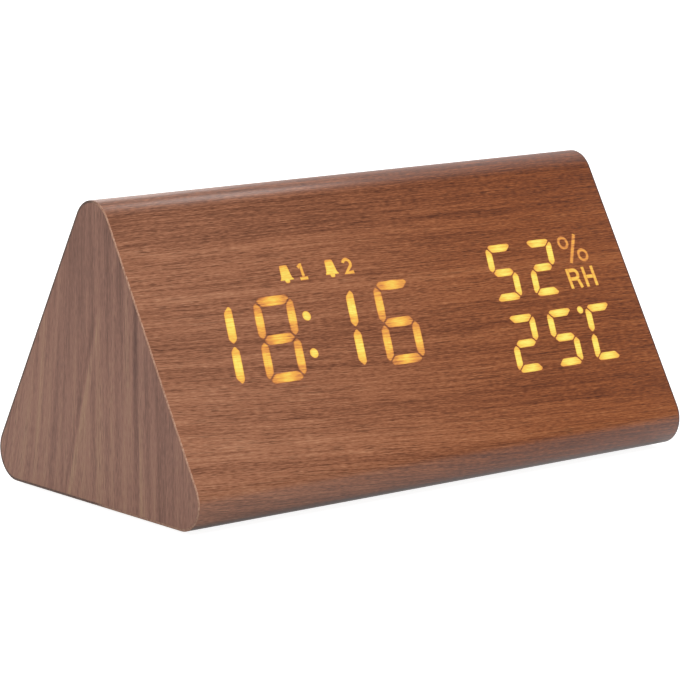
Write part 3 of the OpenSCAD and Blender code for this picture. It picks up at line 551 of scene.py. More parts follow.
def film_edge():
    """Cut edge of the film, with short fibre ends, paler along the front slope of the left end where a
    highlight is painted on it.
    """
    look = Look("film_edge", roughness=0.62, specular_ior_level=0.25)
    length, depth, up = look.parts(look.place())
    # Painted highlight on the edge along the front slope of the left end
    painted_highlight = look.times(look.spread(depth, 2, -5), look.spread(up, 4, 11, 0.5, 1),
                      look.spread(length, 20, -20))
    fleck = look.speckle(1.6, detail=3)
    pale = look.tints(fleck, (0.3, 146, 102, 80), (0.5, 180, 136, 112), (0.7, 198, 160, 136))
    plain = look.tints(fleck, (0.3, 70, 52, 46), (0.5, 94, 74, 66), (0.7, 122, 98, 86))
    look.shade(base_color=look.mixed(painted_highlight, plain, pale), normal=look.bump(fleck, 0.2, 0.05 * MM))
    return look


def lit_film():
    """Film with light behind it: yellow in the middle of a segment, orange towards its rim."""
    look = Look("lit_film", base_color=srgb(32, 19, 11), roughness=0.5, specular_ior_level=0.2)
    along, across, _ = look.parts(look.film_place())
    _, lines, fibres, pores, _ = grain(look, *leaning(look, along, across))
    rim = look.spread(look.attribute("edge"), 0.0, 0.15)
    middle = look.spread(look.attribute("edge"), 0.1, 0.6)
    heat = look.weighed((rim, 0.3), (middle, 0.12), (look.attribute("level"), 0.45), (lines, 0.6),
                        (fibres, 0.75))
    heat = look.math("SUBTRACT", heat, look.times(pores, 0.08))
    cool = look.spread(look.attribute("along"), 0.2, 3.7, 0.0, 0.34)
    glow = look.tints(
        look.math("SUBTRACT", heat, cool),
        (0.1, 142, 80, 40), (0.26, 204, 126, 62), (0.36, 226, 148, 66), (0.5, 240, 171, 68),
        (0.62, 245, 188, 76), (0.72, 245, 202, 82), (0.84, 246, 218, 93), (1.0, 250, 236, 112),
    )
    look.shade(emission_color=glow, emission_strength=1.0)
    return look


def plastic(name, colour, pale, rough=0.45, texture=0.35, edge=0.25):
    """Moulded plastic with a fine eroded texture and soft edges, darkened towards black in its recesses by
    painted shade and dust.
    """
    look = Look(name, specular_ior_level=0.45)
    skin = look.speckle(2.4, detail=3, roughness=0.6)
    cloud = look.speckle(0.07)
    tone = look.weighed((skin, 1.2), (cloud, 0.7))
    look.shade(
        # Painted shade and dust in recesses: near black where the occlusion mask is low
        base_color=look.mixed(look.corners(0.8 * MM), (8, 8, 8), look.mixed(tone, colour, pale)),
        roughness=look.math("MULTIPLY_ADD", cloud, 0.18, rough - 0.09),
        normal=look.bump(skin, texture, 0.06 * MM, edge * MM),
    )
    return look


def metal(name, colour, pale, rough=0.3):
    """Plated steel with fine drawing marks, darkened towards black in its recesses by painted shade and
    dust.
    """
    look = Look(name, metallic=1.0)
    marks = look.speckle((0.8, 9, 9), detail=3)
    tone = look.speckle(0.3)
    look.shade(
        # Painted shade and dust in recesses: near black where the occlusion mask is low
        base_color=look.mixed(look.corners(0.5 * MM), (10, 10, 10), look.mixed(tone, colour, pale)),
        roughness=look.math("MULTIPLY_ADD", marks, 0.2, rough - 0.1),
        normal=look.bump(marks, 0.12, 0.02 * MM, 0.12 * MM),
    )
    return look


def fibreboard():
    """Pressed fibreboard with short fibres."""
    look = Look("fibreboard", roughness=0.85, specular_ior_level=0.2)
    fibre = look.speckle((1.2, 3.2, 3.2), detail=4, roughness=0.65)
    tone = look.weighed((fibre, 1.0), (look.speckle(0.5), 0.6))
    colour = look.tints(tone, (0.25, 126, 96, 66), (0.5, 164, 130, 94), (0.8, 190, 158, 120))
    look.shade(base_color=colour, normal=look.bump(fibre, 0.4, 0.08 * MM))
    return look


def circuit_board():
    """Green board with the shadow of its tracks under the mask."""
    look = Look("circuit_board", specular_ior_level=0.5)
    weave = look.speckle(2.2)
    blocks = look.add("TexBrick", {"Vector": look.place(), "Scale": 0.12, "Mortar Size": 0.06}, "Fac")
    # The weave blurs the tracks a little, towards half of their strength
    blur = look.times(weave, 0.3)
    tracks = look.math("MULTIPLY_ADD", look.math("SUBTRACT", 0.5, blocks), blur, blocks)
    look.shade(
        base_color=look.mixed(tracks, (18, 74, 44), (34, 104, 62)),
        roughness=look.spread(weave, 0.3, 0.7, 0.3, 0.45),
    )
    return look


def translucent(name, colour, pale, rough=0.35):
    """Cast resin or white reflector plastic with faint clouding."""
    look = Look(name, subsurface_weight=0.2, subsurface_scale=0.5 * MM)
    cloud = look.speckle(0.4, detail=3)
    look.shade(
        base_color=look.mixed(cloud, colour, pale),
        roughness=look.spread(cloud, 0.3, 0.7, rough, rough + 0.15),
    )
    return look


def rubber():
    """Matt black rubber with a little dust."""
    look = Look("rubber", specular_ior_level=0.25)
    dust = look.speckle(1.5, detail=4, roughness=0.65)
    look.shade(
        base_color=look.tints(dust, (0.35, 26, 26, 27), (0.75, 62, 60, 58)),
        roughness=look.spread(dust, 0.3, 0.7, 0.75, 0.92),
        normal=look.bump(dust, 0.3, 0.05 * MM, 0.2 * MM),
    )
    return look


def cell_sleeve():
    """Printed sleeve of a dry cell: plain blue with a pale ring by its nub."""
    look = Look("cell_sleeve", metallic=0.35, specular_ior_level=0.5)
    scuff = look.speckle((0.8, 4, 4), detail=3)
    body = look.mixed(scuff, (30, 58, 96), (46, 80, 124))
    band = look.mixed(scuff, (176, 178, 180), (206, 206, 204))
    look.shade(
        base_color=look.mixed(look.attribute("ring"), body, band),
        roughness=look.spread(scuff, 0.3, 0.7, 0.26, 0.42),
    )
    return look


WOOD = wood_film()
END_WOOD = end_film()
CUT_EDGE = film_edge()
LIT = lit_film()
BLACK = plastic("black_plastic", (24, 24, 25), (40, 40, 41), rough=0.5)
KEY_BLACK = plastic("button_plastic", (34, 34, 36), (52, 52, 54), rough=0.4, texture=0.2)
WHITE = plastic("white_plastic", (206, 204, 196), (226, 224, 216), rough=0.4, texture=0.15)
PRINT = plastic("white_print", (196, 196, 192), (220, 220, 216), rough=0.6, texture=0.1, edge=0.03)
STEEL = metal("steel", (168, 168, 170), (200, 200, 200))
DARK_STEEL = metal("black_steel", (58, 58, 60), (84, 84, 86), rough=0.36)


# Film round the three long faces

def wrap_outline(inset):
    """Points (y, z) round the section, from one side of the base seam to the other."""
    radius = EDGE_R - inset
    low = INRADIUS - EDGE_R
    corners = [((-FLAT_HALF, -low), 270), ((0, 2 * low), 150), ((FLAT_HALF, -low), 30)]
    points = [(-SEAM_W / 2, -INRADIUS + inset)]
    for centre, start in corners:
        points += arc(centre, radius, start, start - 120, ARC_STEPS)
    return points + [(SEAM_W / 2, -INRADIUS + inset)]


def wrap_distances():
    """Distance of each point of the section round the film, from the middle of the front slope."""
    outline = wrap_outline(0)
    distances = [0.0, *accumulate(math.dist(a, b) for a, b in zip(outline, outline[1:]))]
    middle = (distances[ARC_STEPS + 1] + distances[ARC_STEPS + 2]) / 2
    return [d - middle for d in distances]


def panel_cutter():
    """Block that cuts the rear panel's opening, with a gap all round."""
    low, high = box_of([p for solid in solids_of("rear_panel", PANEL) for p in solid])
    width, height, _ = high - low + Vector((2 * PANEL_GAP, 2 * PANEL_GAP, 0))
    bm = bmesh.new()
    add_prism(bm, rounded_rect(width, height, PANEL_R + PANEL_GAP, 12), -CUT_REACH, CUT_REACH, PANEL)
    cutter = placed("panel_cutter", mesh_of(bm, "panel_cutter"))
    cutter.data.materials.append(CUT_EDGE.holder)
    return cutter


def film_wrap():
    """The film as one sheet, butted along the base, with the rear panel's opening cut through it."""
    bm = bmesh.new()
    rows = []
    for outer, inner in zip(wrap_outline(0), wrap_outline(FILM_T)):
        corners = ((-1, outer), (1, outer), (1, inner), (-1, inner))
        rows.append([bm.verts.new(MIDDLE + Vector((end * HALF_LENGTH, *spot))) for end, spot in corners])
    add_solid(bm, rows)
    distance = {vert: d for row, d in zip(rows, wrap_distances()) for vert in row}
    outside = {vert for row in rows for vert in row[:2]}
    film = bm.loops.layers.uv.new("film")
    for face in bm.faces:
        face.material_index = 0 if outside.issuperset(face.verts) else 1
        for loop in face.loops:
            loop[film].uv = (loop.vert.co.x, distance[loop.vert])
    wrap = piece_of("film_wrap", bm, [WOOD, CUT_EDGE], stands_for=["veneer_wrap"])
    cutter = panel_cutter()
    cut = wrap.modifiers.new("panel_opening", "BOOLEAN")
    cut.operation = "DIFFERENCE"
    cut.solver = "EXACT"
    cut.material_mode = "TRANSFER"
    cut.object = cutter
    bevel = wrap.modifiers.new("worn_edges", "BEVEL")
    bevel.width = FILM_BEVEL
    bevel.segments = 2
    bevel.limit_method = "ANGLE"
    bevel.angle_limit = math.radians(60)
    bevel.material = 1
    apply_modifiers(wrap)
    bpy.data.objects.remove(cutter)


# Lit figures and signs

LIT_PROUD = 0.02 * MM
LIT_DEPTH = 0.1 * MM
LIT_STEP = 0.6 * MM
RING_SHARES = (0.0, 0.14, 0.32, 0.6, 0.98)

# How far the light shows past a segment's long sides, its mitres and the short edges at its tips
SIDE_REACH = -0.04 * MM
MITRE_REACH = 0.12 * MM
CORNER_REACH = -0.3 * MM
SMALL_CORNER_REACH = -0.08 * MM

# Segments slimmer than this are small ones, and an edge is a side or a mitre by its slant and its length
SMALL_WIDTH = 2.7 * MM
SIDE_SLANT = 0.2
MITRE_SHARE = 0.45

# Corners are cut by a share of the width, or of a short edge. Outlines with more points are dots
CORNER_SHARE = 0.2
CORNER_LIMIT = 0.4
CORNER_STEPS = 4
SEGMENT_POINTS = 8
DOT_SHARE = 0.93


def long_axis(points):
    """Direction of an outline's greatest length."""
    centre = middle_of(points)
    best = max(points, key=lambda p: (p - centre).length)
    far = min(points, key=lambda p: (p - centre).dot(best - centre))
    return (best - far).normalized()


def width_of(points):
    """Width of an outline across its greatest length."""
    centre = middle_of(points)
    axis = long_axis(points)
    return 2 * max(abs((p - centre).cross(axis)) for p in points)


def spread_outline(points):
    """A segment's outline as its light shows: slimmer, and nearer to its neighbours at the mitres."""
    axis = long_axis(points)
    width = width_of(points)
    corner_reach = SMALL_CORNER_REACH if width < SMALL_WIDTH else CORNER_REACH
    normals = []
    reaches = []
    for i, start in enumerate(points):
        edge = points[(i + 1) % len(points)] - start
        way = edge.normalized()
        normals.append(Vector((way.y, -way.x)))
        if abs(way.cross(axis)) < SIDE_SLANT:
            reaches.append(SIDE_REACH)
        else:
            reaches.append(MITRE_REACH if edge.length > MITRE_SHARE * width else corner_reach)
    outline = []
    for i, corner in enumerate(points):
        a, b = normals[i - 1], normals[i]
        shift = reaches[i - 1] * Vector((b.y, -b.x)) + reaches[i] * Vector((-a.y, a.x))
        outline.append(corner + shift / a.cross(b))
    return outline


def rounded_outline(points):
    """A segment's lit outline with each corner cut by a short curve, or a dot's outline made smaller."""
    if len(points) > SEGMENT_POINTS:
        middle = middle_of(points)
        return [middle.lerp(p, DOT_SHARE) for p in points]
    points = spread_outline(points)
    cut = CORNER_SHARE * width_of(points)
    outline = []
    for i, corner in enumerate(points):
        before = points[i - 1] - corner
        after = points[(i + 1) % len(points)] - corner
        start = corner + before.normalized() * min(cut, before.length * CORNER_LIMIT)
        end = corner + after.normalized() * min(cut, after.length * CORNER_LIMIT)
        for step in range(CORNER_STEPS + 1):
            t = step / CORNER_STEPS
            outline.append(start * (1 - t) ** 2 + corner * 2 * t * (1 - t) + end * t ** 2)
    return outline


def divided(outline):
    """An outline with more points along its long edges."""
    points = []
    for i, start in enumerate(outline):
        end = outline[(i + 1) % len(outline)]
        count = max(math.ceil((end - start).length / LIT_STEP), 1)
        points += [start.lerp(end, step / count) for step in range(count)]
    return points


def lit_vert(bm, spot, height, edge, along, level):
    """A vertex on the display, with its distances in millimetres from rim and middle, and its level."""
    vert = bm.verts.new(DISPLAY @ Vector((spot.x, spot.y, height)))
    for name, value in (("edge", edge), ("along", along), ("level", level)):
        vert[bm.verts.layers.float[name]] = value
    return vert


def add_lit(bm, outline, level, axis=None):
    """Adds one lit area: a thin closed solid, brightest along its middle."""
    centre = middle_of(outline)
    axis = axis or long_axis(outline)
    normal = Vector((-axis.y, axis.x))
    half = max(abs((p - centre).dot(axis)) for p in outline)
    half_width = max(abs((p - centre).dot(normal)) for p in outline)
    spine = max(half - half_width, 0.0)
    made = {}

    def vert_at(p, height, share):
        key = (round(p.x, 7), round(p.y, 7), height)
        if key not in made:
            along = abs((p - centre).dot(axis)) / MM
            made[key] = lit_vert(bm, p, height, share * half_width / MM, along, level)
        return made[key]

    rows = [[vert_at(p, -LIT_DEPTH, 0.0) for p in outline]]
    for share in RING_SHARES:
        row = []
        for p in outline:
            t = max(-spine, min(spine, (p - centre).dot(axis)))
            row.append(vert_at(p.lerp(centre + axis * t, share), LIT_PROUD, share))
        rows.append(row)
    add_solid(bm, rows)


def lit_bmesh():
    bm = bmesh.new()
    for name in ("edge", "along", "level"):
        bm.verts.layers.float.new(name)
    return bm


def finish_lit(bm, name, stands_for=()):
    """Gives the lit areas their place on the unrolled film and makes them a piece."""
    back = FRONT.inverted()
    film = bm.loops.layers.uv.new("film")
    for face in bm.faces:
        for loop in face.loops:
            loop[film].uv = (back @ loop.vert.co).xy
    piece_of(name, bm, [LIT], stands_for=stands_for)


# Middles of the two time figures that light many segments, and so glow more dimly
DIM_PLACES = (-38.9 * MM, -2.9 * MM)
DIM_REACH = 6.5 * MM
LEAN = math.tan(math.radians(9))
FULL_LEVEL = 1.0
READING_LEVEL = 1.04
DIM_LEVEL = 0.48
DOT_LEVEL = 0.85


def lit_figures(node, name, full):
    """Lit areas with the outlines of a CAD node's windows, at a full level or, in some figures, dimmer."""
    bm = lit_bmesh()
    for solid in solids_of(node, DISPLAY):
        top = [p.xy for p in solid if p.z > -FILM_T / 2]
        centre = middle_of(top)
        top.sort(key=lambda p: math.atan2(p.y - centre.y, p.x - centre.x))
        upright = centre.x - centre.y * LEAN
        dim = any(abs(upright - x) < DIM_REACH for x in DIM_PLACES)
        level = DOT_LEVEL if len(top) > SEGMENT_POINTS else DIM_LEVEL if dim else full
        add_lit(bm, divided(rounded_outline(top)), level)
    finish_lit(bm, name, [node])


# Alarm bells, alarm numbers and unit signs, in millimetres on the display
BELL_PLACES = ((-31.15, 13.05), (-17.6, 13.05))
BELL_HALF_OUTLINE = (
    (0.0, 0.0), (0.4, 0.06), (0.66, 0.32), (0.72, 0.8), (2.0, 0.82), (1.92, 1.08), (1.64, 1.42), (1.5, 2.0),
    (1.32, 3.3), (1.22, 4.2), (1.08, 4.5), (0.7, 4.62),
)
BELL_LEVEL = 0.7
NUMBER_STROKE = 0.9
NUMBER_PLACES = ((-27.4, 13.35), (-13.75, 13.35))
NUMBER_HEIGHT = 4.25
NUMBER_LEVEL = 0.3
LETTER_STROKE = 1.04
LETTER_PLACES = ((54.25, 2.02), (59.56, 2.02))
LETTER_WIDTHS = (4.44, 4.04)
LETTER_HEIGHT = 5.36
LETTER_LEVEL = 0.4
PERCENT_RINGS = ((56.72, 14.26), (61.88, 10.47))
PERCENT_RING_R = 1.39
PERCENT_RING_STROKE = 0.94
PERCENT_SLASH = ((57.18, 8.75), (61.28, 16.15))
PERCENT_STROKE = 1.16
PERCENT_LEVEL = -0.1


def number_one(x, y):
    """Strokes of a 1 with a flag and a foot."""
    half = NUMBER_STROKE / 2
    top = y + NUMBER_HEIGHT
    stem = x + 1.25
    flag = [(x + 0.35, top - 0.95), (stem - 0.1, top - half), (stem, top - half), (stem, y + NUMBER_STROKE)]
    return [flag, [(x + 0.1, y + half), (x + 2.4, y + half)]]


def number_two(x, y):
    """One stroke that makes a 2."""
    half = NUMBER_STROKE / 2
    bowl_r = 1.08
    bowl = arc((x + 1.3, y + NUMBER_HEIGHT - half - bowl_r), bowl_r, 165, -38, 12)
    return [bowl + [(x + half, y + half), (x + 2.7, y + half)]]


def letter_r(x, y):
    """Strokes of an R: stem, bowl and leg."""
    half = LETTER_STROKE / 2
    top = y + LETTER_HEIGHT - half
    waist = y + LETTER_HEIGHT * 0.47
    right = x + LETTER_WIDTHS[0] - half
    bowl_r = (top - waist) / 2
    bend = arc((right - 0.3 - bowl_r, top - bowl_r), bowl_r, 90, -90, 12)
    bowl = [(x + LETTER_STROKE, top), *bend, (x + LETTER_STROKE, waist)]
    leg = [(right - 0.65, waist - half / 2), (right - 0.15, y)]
    return [[(x + half, y), (x + half, y + LETTER_HEIGHT)], bowl, leg]


def letter_h(x, y):
    """Strokes of an H."""
    half = LETTER_STROKE / 2
    width = LETTER_WIDTHS[1]
    middle = y + LETTER_HEIGHT / 2
    stems = [[(x + side, y), (x + side, y + LETTER_HEIGHT)] for side in (half, width - half)]
    return stems + [[(x + LETTER_STROKE, middle), (x + width - LETTER_STROKE, middle)]]


def add_stroke(bm, points, width, level, closed):
    """Adds one stroke of a sign: a thin closed solid along a line, brightest along its middle."""
    line = [Vector(p) * MM for p in points]
    last = len(line) - 1
    section = ((-1, -LIT_DEPTH, 0), (-1, LIT_PROUD, 0), (0, LIT_PROUD, width / 2), (1, LIT_PROUD, 0),
               (1, -LIT_DEPTH, 0))
    rows = []
    for i, point in enumerate(line):
        before = line[i - 1] if closed or i > 0 else point
        after = line[(i + 1) % len(line)] if closed or i < last else point
        ways = [way.normalized() for way in (point - before, after - point) if way.length > 0]
        heading = middle_of(ways).normalized()
        stretch = 1 / max(heading.dot(ways[0]), 0.5)
        aside = Vector((-heading.y, heading.x)) * width * MM / 2 * stretch
        rows.append([lit_vert(bm, point + aside * share, z, edge, 0.0, level) for share, z, edge in section])
    add_solid(bm, rows, closed)


def lit_signs():
    """Alarm bells with their numbers, and the signs beside the humidity."""
    bm = lit_bmesh()
    for x, y in BELL_PLACES:
        right = [Vector((x + px, y + py)) * MM for px, py in BELL_HALF_OUTLINE]
        left = [Vector((x - px, y + py)) * MM for px, py in BELL_HALF_OUTLINE if px > 0]
        add_lit(bm, right + left[::-1], BELL_LEVEL, axis=Vector((0, 1)))
    numbers = number_one(*NUMBER_PLACES[0]) + number_two(*NUMBER_PLACES[1])
    letters = letter_r(*LETTER_PLACES[0]) + letter_h(*LETTER_PLACES[1])
    rings = [arc(place, PERCENT_RING_R, 0, 360, 36)[:-1] for place in PERCENT_RINGS]
    for strokes, width, level, closed in (
        (numbers, NUMBER_STROKE, NUMBER_LEVEL, False),
        (letters, LETTER_STROKE, LETTER_LEVEL, False),
        (rings, PERCENT_RING_STROKE, PERCENT_LEVEL, True),
        ([PERCENT_SLASH], PERCENT_STROKE, PERCENT_LEVEL, False),
    ):
        for stroke in strokes:
            add_stroke(bm, stroke, width, level, closed)
    finish_lit(bm, "lit_signs")


# Buttons

CAP_HEIGHT = 1 * MM
BUTTON_FILLET = 0.45 * MM
DISH_DEPTH = 0.3 * MM
DISH_STEPS = 10
FLANGE_T = 1 * MM
FLANGE_BEVEL = 0.1 * MM
STEM_R = 1.5 * MM
STEM_LENGTH = 1.15 * MM
MARK_SINK = 0.15 * MM
MARK_RISE = 0.22 * MM
MARK_RING = (0.75 * MM, 1.25 * MM)
MARK_TRIANGLE = ((-1.15 * MM, -0.7 * MM), (1.15 * MM, -0.7 * MM), (0.0, 1.2 * MM))


def button_place(node):
    """Frame at the top of a button's cap, with the cap's radius, the flange's radius and the height."""
    points = solids_of(node, PANEL)[0]
    low, high = box_of(points)
    cap_low, cap_high = box_of([p for p in points if p.z > high.z - CAP_HEIGHT])
    middle = (cap_low + cap_high) / 2
    top = PANEL @ Matrix.Translation((middle.x, middle.y, high.z))
    return top, (cap_high.x - cap_low.x) / 2, (high.x - low.x) / 2, high.z - low.z


def push_button(body):
    """A push cap with a dish, a flange and a stem. Gives the frame at its top."""
    place, cap_r, rim_r, height = button_place(body)
    dish_edge = cap_r - BUTTON_FILLET
    ball = (dish_edge ** 2 + DISH_DEPTH ** 2) / (2 * DISH_DEPTH)
    low = STEM_LENGTH - height
    high = low + FLANGE_T
    profile = [(0, -height), (STEM_R, -height), (STEM_R, low), (rim_r - FLANGE_BEVEL, low)]
    profile += [(rim_r, low + FLANGE_BEVEL), (rim_r, high - FLANGE_BEVEL), (rim_r - FLANGE_BEVEL, high)]
    profile += [(cap_r, high)]
    profile += arc((dish_edge, -BUTTON_FILLET), BUTTON_FILLET, 0, 90, 6)
    for i in range(1, DISH_STEPS):
        r = dish_edge * (1 - i / DISH_STEPS)
        profile.append((r, ball - DISH_DEPTH - math.sqrt(ball ** 2 - r ** 2)))
    profile.append((0, -DISH_DEPTH))
    bm = bmesh.new()
    add_lathe(bm, profile, place)
    piece_of(body + "_cap", bm, [KEY_BLACK], body, [body])
    return place


def buttons():
    """Three buttons, with a ring, an upward triangle and a downward triangle printed in their dishes."""
    low, high = -DISH_DEPTH - MARK_SINK, -DISH_DEPTH + MARK_RISE
    inner, outer = MARK_RING
    outlines = {"up_button": MARK_TRIANGLE, "down_button": [(x, -y) for x, y in reversed(MARK_TRIANGLE)]}
    for body in ("set_button", "up_button", "down_button"):
        place = push_button(body)
        bm = bmesh.new()
        if body in outlines:
            add_prism(bm, outlines[body], low, high, place)
        else:
            add_lathe(bm, [(inner, low), (outer, low), (outer, high), (inner, high)], place, 32, closed=True)
        piece_of(body + "_mark", bm, [PRINT], body)


# Battery bay

CELL_NUB = 1 * MM
CELL_NUB_R = 1.9 * MM
CELL_NUB_FOOT_R = 2.2 * MM
CELL_NUB_FILLET = 0.3 * MM
CELL_SHOULDER_R = 0.6 * MM
CELL_GROOVE = 0.25 * MM
CELL_GROOVE_INSET = 1.2 * MM
CELL_RING = 7 * MM
CELL_RING_EDGE = 0.1 * MM
CELL_SLEEVE_LOW = 6 * MM
CELL_FOOT_R = 0.5 * MM
CELL_DISH = 0.15 * MM
CELL_DISH_INSETS = (1.1 * MM, 1.4 * MM)
CELL_BARE_FOOT = 0.3 * MM
SPRING_WIRE = 0.6 * MM
SPRING_TURNS = 3
SPRING_TURN_STEPS = 28
SPRING_BASE_R = 3.3 * MM
SPRING_TIP_R = 2.4 * MM
SPRING_BEND = 1.2 * SPRING_WIRE
SPRING_BEND_STEPS = 6


def cell_profile(radius, length):
    """Half outline of a dry cell from its dished foot to its nub, (radius, height)."""
    shoulder = length - CELL_NUB
    ring = shoulder - CELL_RING
    groove = shoulder - CELL_GROOVE
    rim, dish = (radius - inset for inset in CELL_DISH_INSETS)
    return [
        (0, CELL_DISH), (dish, CELL_DISH), (rim, 0),
        *arc((radius - CELL_FOOT_R, CELL_FOOT_R), CELL_FOOT_R, 270, 360, 4),
        (radius, CELL_SLEEVE_LOW), (radius, ring), (radius, ring + CELL_RING_EDGE),
        *arc((radius - CELL_SHOULDER_R, shoulder - CELL_SHOULDER_R), CELL_SHOULDER_R, 0, 90, 5),
        (radius - CELL_GROOVE_INSET, groove), (CELL_NUB_FOOT_R, groove), (CELL_NUB_R, shoulder),
        *arc((CELL_NUB_R - CELL_NUB_FILLET, length - CELL_NUB_FILLET), CELL_NUB_FILLET, 0, 90, 4),
        (0, length),
    ]


def dry_cells():
    """Three cells with a shouldered can, a contact nub and a crimped sleeve."""
    bm = bmesh.new()
    ring = bm.verts.layers.float.new("ring")
    for solid in solids_of("battery_cells", PANEL):
        low, high = box_of(solid)
        radius = (high.y - low.y) / 2
        middle = (low + high) / 2
        rim = [p for p in solid if max(abs(p.y - middle.y), abs(p.z - middle.z)) > radius * 0.9]
        body_low, body_high = box_of(rim)
        towards = 1 if high.x - body_high.x > body_low.x - low.x else -1
        length = high.x - low.x
        tail = low.x if towards > 0 else high.x
        turn = Matrix.Rotation(math.radians(90 * towards), 4, "Y")
        place = PANEL @ Matrix.Translation((tail, middle.y, middle.z)) @ turn
        made = len(bm.verts)
        add_lathe(bm, cell_profile(radius, length), place, 48)
        ring_low = length - CELL_NUB - CELL_RING + CELL_RING_EDGE / 2
        back = place.inverted()
        for vert in list(bm.verts)[made:]:
            height = (back @ vert.co).z
            vert[ring] = 1.0 if height > ring_low or height < CELL_BARE_FOOT else 0.0
    piece_of("dry_cells", bm, [cell_sleeve()], stands_for=["battery_cells"])


def spring_points(length):
    """Middle line of a conical contact spring along X, with short straight ends."""
    mean_r = (SPRING_BASE_R + SPRING_TIP_R) / 2
    start = SPRING_WIRE + SPRING_BEND
    coil = length - 2 * start
    sweep = 2 * math.pi * SPRING_TURNS * mean_r
    bend = arc((0, 0), SPRING_BEND, 0, 90, SPRING_BEND_STEPS)
    # The path unrolled: along the spring, and round it
    path = [(0.0, 0.0), (SPRING_WIRE, 0.0)]
    path += [(SPRING_WIRE + y, SPRING_BEND - x) for x, y in bend[1:]]
    steps = SPRING_TURNS * SPRING_TURN_STEPS
    path += [(start + coil * i / steps, SPRING_BEND + sweep * i / steps) for i in range(1, steps)]
    path += [(length - SPRING_WIRE - y, sweep + SPRING_BEND + x) for x, y in reversed(bend)]
    path.append((length, sweep + 2 * SPRING_BEND))
    points = []
    for x, round_way in path:
        r = SPRING_BASE_R + (SPRING_TIP_R - SPRING_BASE_R) * x / length
        a = round_way / mean_r
        points.append(Vector((x, r * math.cos(a), r * math.sin(a))))
    points[0].yz = points[1].yz
    points[-1].yz = points[-2].yz
    return points


def contact_springs():
    """The bay's coil springs, each one unbroken wire."""
    bm = bmesh.new()
    cells = [box_of(solid) for solid in solids_of("battery_cells", PANEL)]
    for solid in solids_of("battery_springs", PANEL):
        low, high = box_of(solid)
        cell = min(cells, key=lambda box: abs(box[0].y + box[1].y - low.y - high.y))
        middle = (cell[0] + cell[1]) / 2
        towards = 1 if (low.x + high.x) / 2 < middle.x else -1
        start = low.x if towards > 0 else high.x
        turn = Matrix.Rotation(0 if towards > 0 else math.pi, 4, "Z")
        place = PANEL @ Matrix.Translation((start, middle.y, middle.z)) @ turn
        add_tube(bm, [place @ p for p in spring_points(high.x - low.x)], 10, SPRING_WIRE / 2)
    piece_of("contact_springs", bm, [STEEL], stands_for=["battery_springs"], sharp_angle=50)


# CAD nodes that keep their shape

def dress_nodes():
    """Gives every CAD node that stays in view its material, in a new slot where it has none."""
    looks = (
        (END_WOOD, "end_film", "left_end_veneer", "right_end_veneer"),
        (fibreboard(), "fibreboard", "case_sleeve", "left_end_panel", "right_end_panel"),
        (rubber(), "rubber", "rubber_feet"),
        (translucent("reflector", (222, 220, 212), (236, 234, 228)), "reflector", "display_reflector"),
        (translucent("lens", (226, 206, 150), (240, 226, 180)), "lens", "segment_lenses"),
        (translucent("led", (236, 226, 150), (246, 238, 180)), "led", "display_leds"),
        (circuit_board(), "circuit_board", "display_board", "control_board"),
        (plastic("cable", (150, 150, 152), (182, 182, 184), rough=0.55), "cable", "ribbon_cable"),
        (plastic("red_lead", (142, 26, 24), (172, 40, 34), rough=0.5), "red_lead", "battery_leads"),
        (WHITE, "white_plastic", "ribbon_plugs", "humidity_sensor"),
        (DARK_STEEL, "steel", "panel_screws"),
        (STEEL, "steel", "display_screws", "board_screws", "quartz_crystal", "usb_shell", "contact_plates"),
        (BLACK, "black_plastic", "rear_panel", "battery_door", "control_chip", "smoothing_capacitor",
         "switch_housings", "usb_tongue", "alarm_buzzer", "set_plunger", "up_plunger", "down_plunger"),
    )
    for look, slot, *names in looks:
        for node in (nodes[name] for name in names):
            if not node.material_slots:
                node.data.materials.append(look.holder)
            for material_slot in node.material_slots:
                material_slot.material = look.holder


# Stage

CAMERA_PLACE = Vector((-487.1, -592.1, 170.5)) * MM
CAMERA_PITCH = math.radians(10.304)
CAMERA_YAW = math.radians(39.316)
CAMERA_LENS = 169.28
CAMERA_SENSOR = 36
CAMERA_NEAR = 0.01
SKY_LEVEL = 0.55
FLOOR_GLOW = 0.92
FLOOR_HALF = 4
FLOOR_DROP = 0.02 * MM
LAMP_AIM = Vector((0, 0, 0.03))

# Lamps: name, place, diameter and power in watts
LAMPS = (
    ("key", (-0.45, -1.2, 1.4), 1.1, 14),
    ("fill", (-1.6, -0.2, 0.9), 1.0, 7),
    ("top", (0.58, -0.03, 1.31), 0.5, 4.5),
    ("back", (0.5, 1.5, 1.2), 1.2, 10),
)


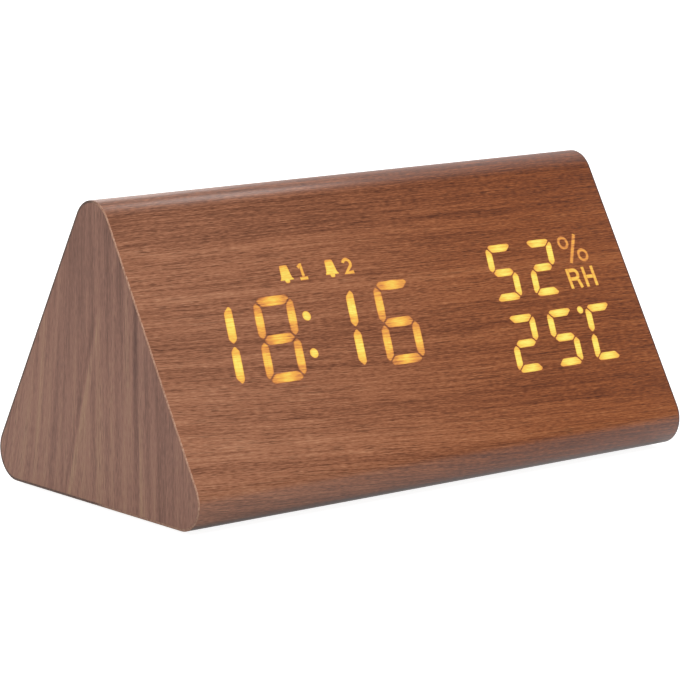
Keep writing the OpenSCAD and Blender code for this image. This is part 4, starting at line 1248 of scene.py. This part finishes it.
def camera():
    data = bpy.data.cameras.new("camera")
    data.lens = CAMERA_LENS
    data.sensor_width = CAMERA_SENSOR
    data.clip_start = CAMERA_NEAR
    holder = placed("camera", data)
    holder.location = CAMERA_PLACE
    holder.rotation_euler = (math.pi / 2 - CAMERA_PITCH, 0, -CAMERA_YAW)
    bpy.context.scene.camera = holder


def seen_level(look, unseen, seen):
    """Level seen by rays from the camera, off gloss and through glass, and another for the rest."""
    path = look.add("LightPath", {}).node.outputs
    share = path["Is Camera Ray"]
    for name in ("Is Glossy Ray", "Is Transmission Ray"):
        share = look.math("MAXIMUM", share, path[name])
    return look.add("MapRange", {"Value": share, "To Min": unseen, "To Max": seen})


def white_sky():
    """White surroundings that light the object at a plain level."""
    look = Look("studio", world=True, color=(1, 1, 1, 1))
    look.shade(strength=seen_level(look, SKY_LEVEL, 1.0))
    bpy.context.scene.world = look.holder


def white_floor():
    """White floor: bright to the camera except where the object shades it."""
    look = Look("floor", base_color=(0.5, 0.5, 0.5, 1), roughness=1.0, specular_ior_level=0.0)
    look.shade(emission_color=(1, 1, 1, 1), emission_strength=seen_level(look, 0.0, FLOOR_GLOW))
    bm = bmesh.new()
    bmesh.ops.create_grid(bm, x_segments=4, y_segments=4, size=FLOOR_HALF)
    mesh = bpy.data.meshes.new("floor")
    bm.to_mesh(mesh)
    bm.free()
    mesh.materials.append(look.holder)
    floor = placed("floor", mesh)
    floor.location.z = -FLOOR_DROP


def lights():
    """Soft round lamps: a key over the front, a fill from the left, one high on the right and one behind."""
    for name, place, size, power in LAMPS:
        data = bpy.data.lights.new(name, "AREA")
        data.shape = "DISK"
        data.size = size
        data.energy = power
        holder = placed(name, data)
        holder.location = place
        holder.rotation_euler = (LAMP_AIM - Vector(place)).to_track_quat("-Z", "Y").to_euler()


bpy.context.scene.view_settings.view_transform = "Standard"
camera()
white_sky()
white_floor()
lights()
film_wrap()
lit_figures("time_windows", "lit_time", FULL_LEVEL)
lit_figures("humidity_windows", "lit_humidity", READING_LEVEL)
lit_figures("temperature_windows", "lit_temperature", READING_LEVEL)
lit_signs()
buttons()
dry_cells()
contact_springs()
dress_nodes()
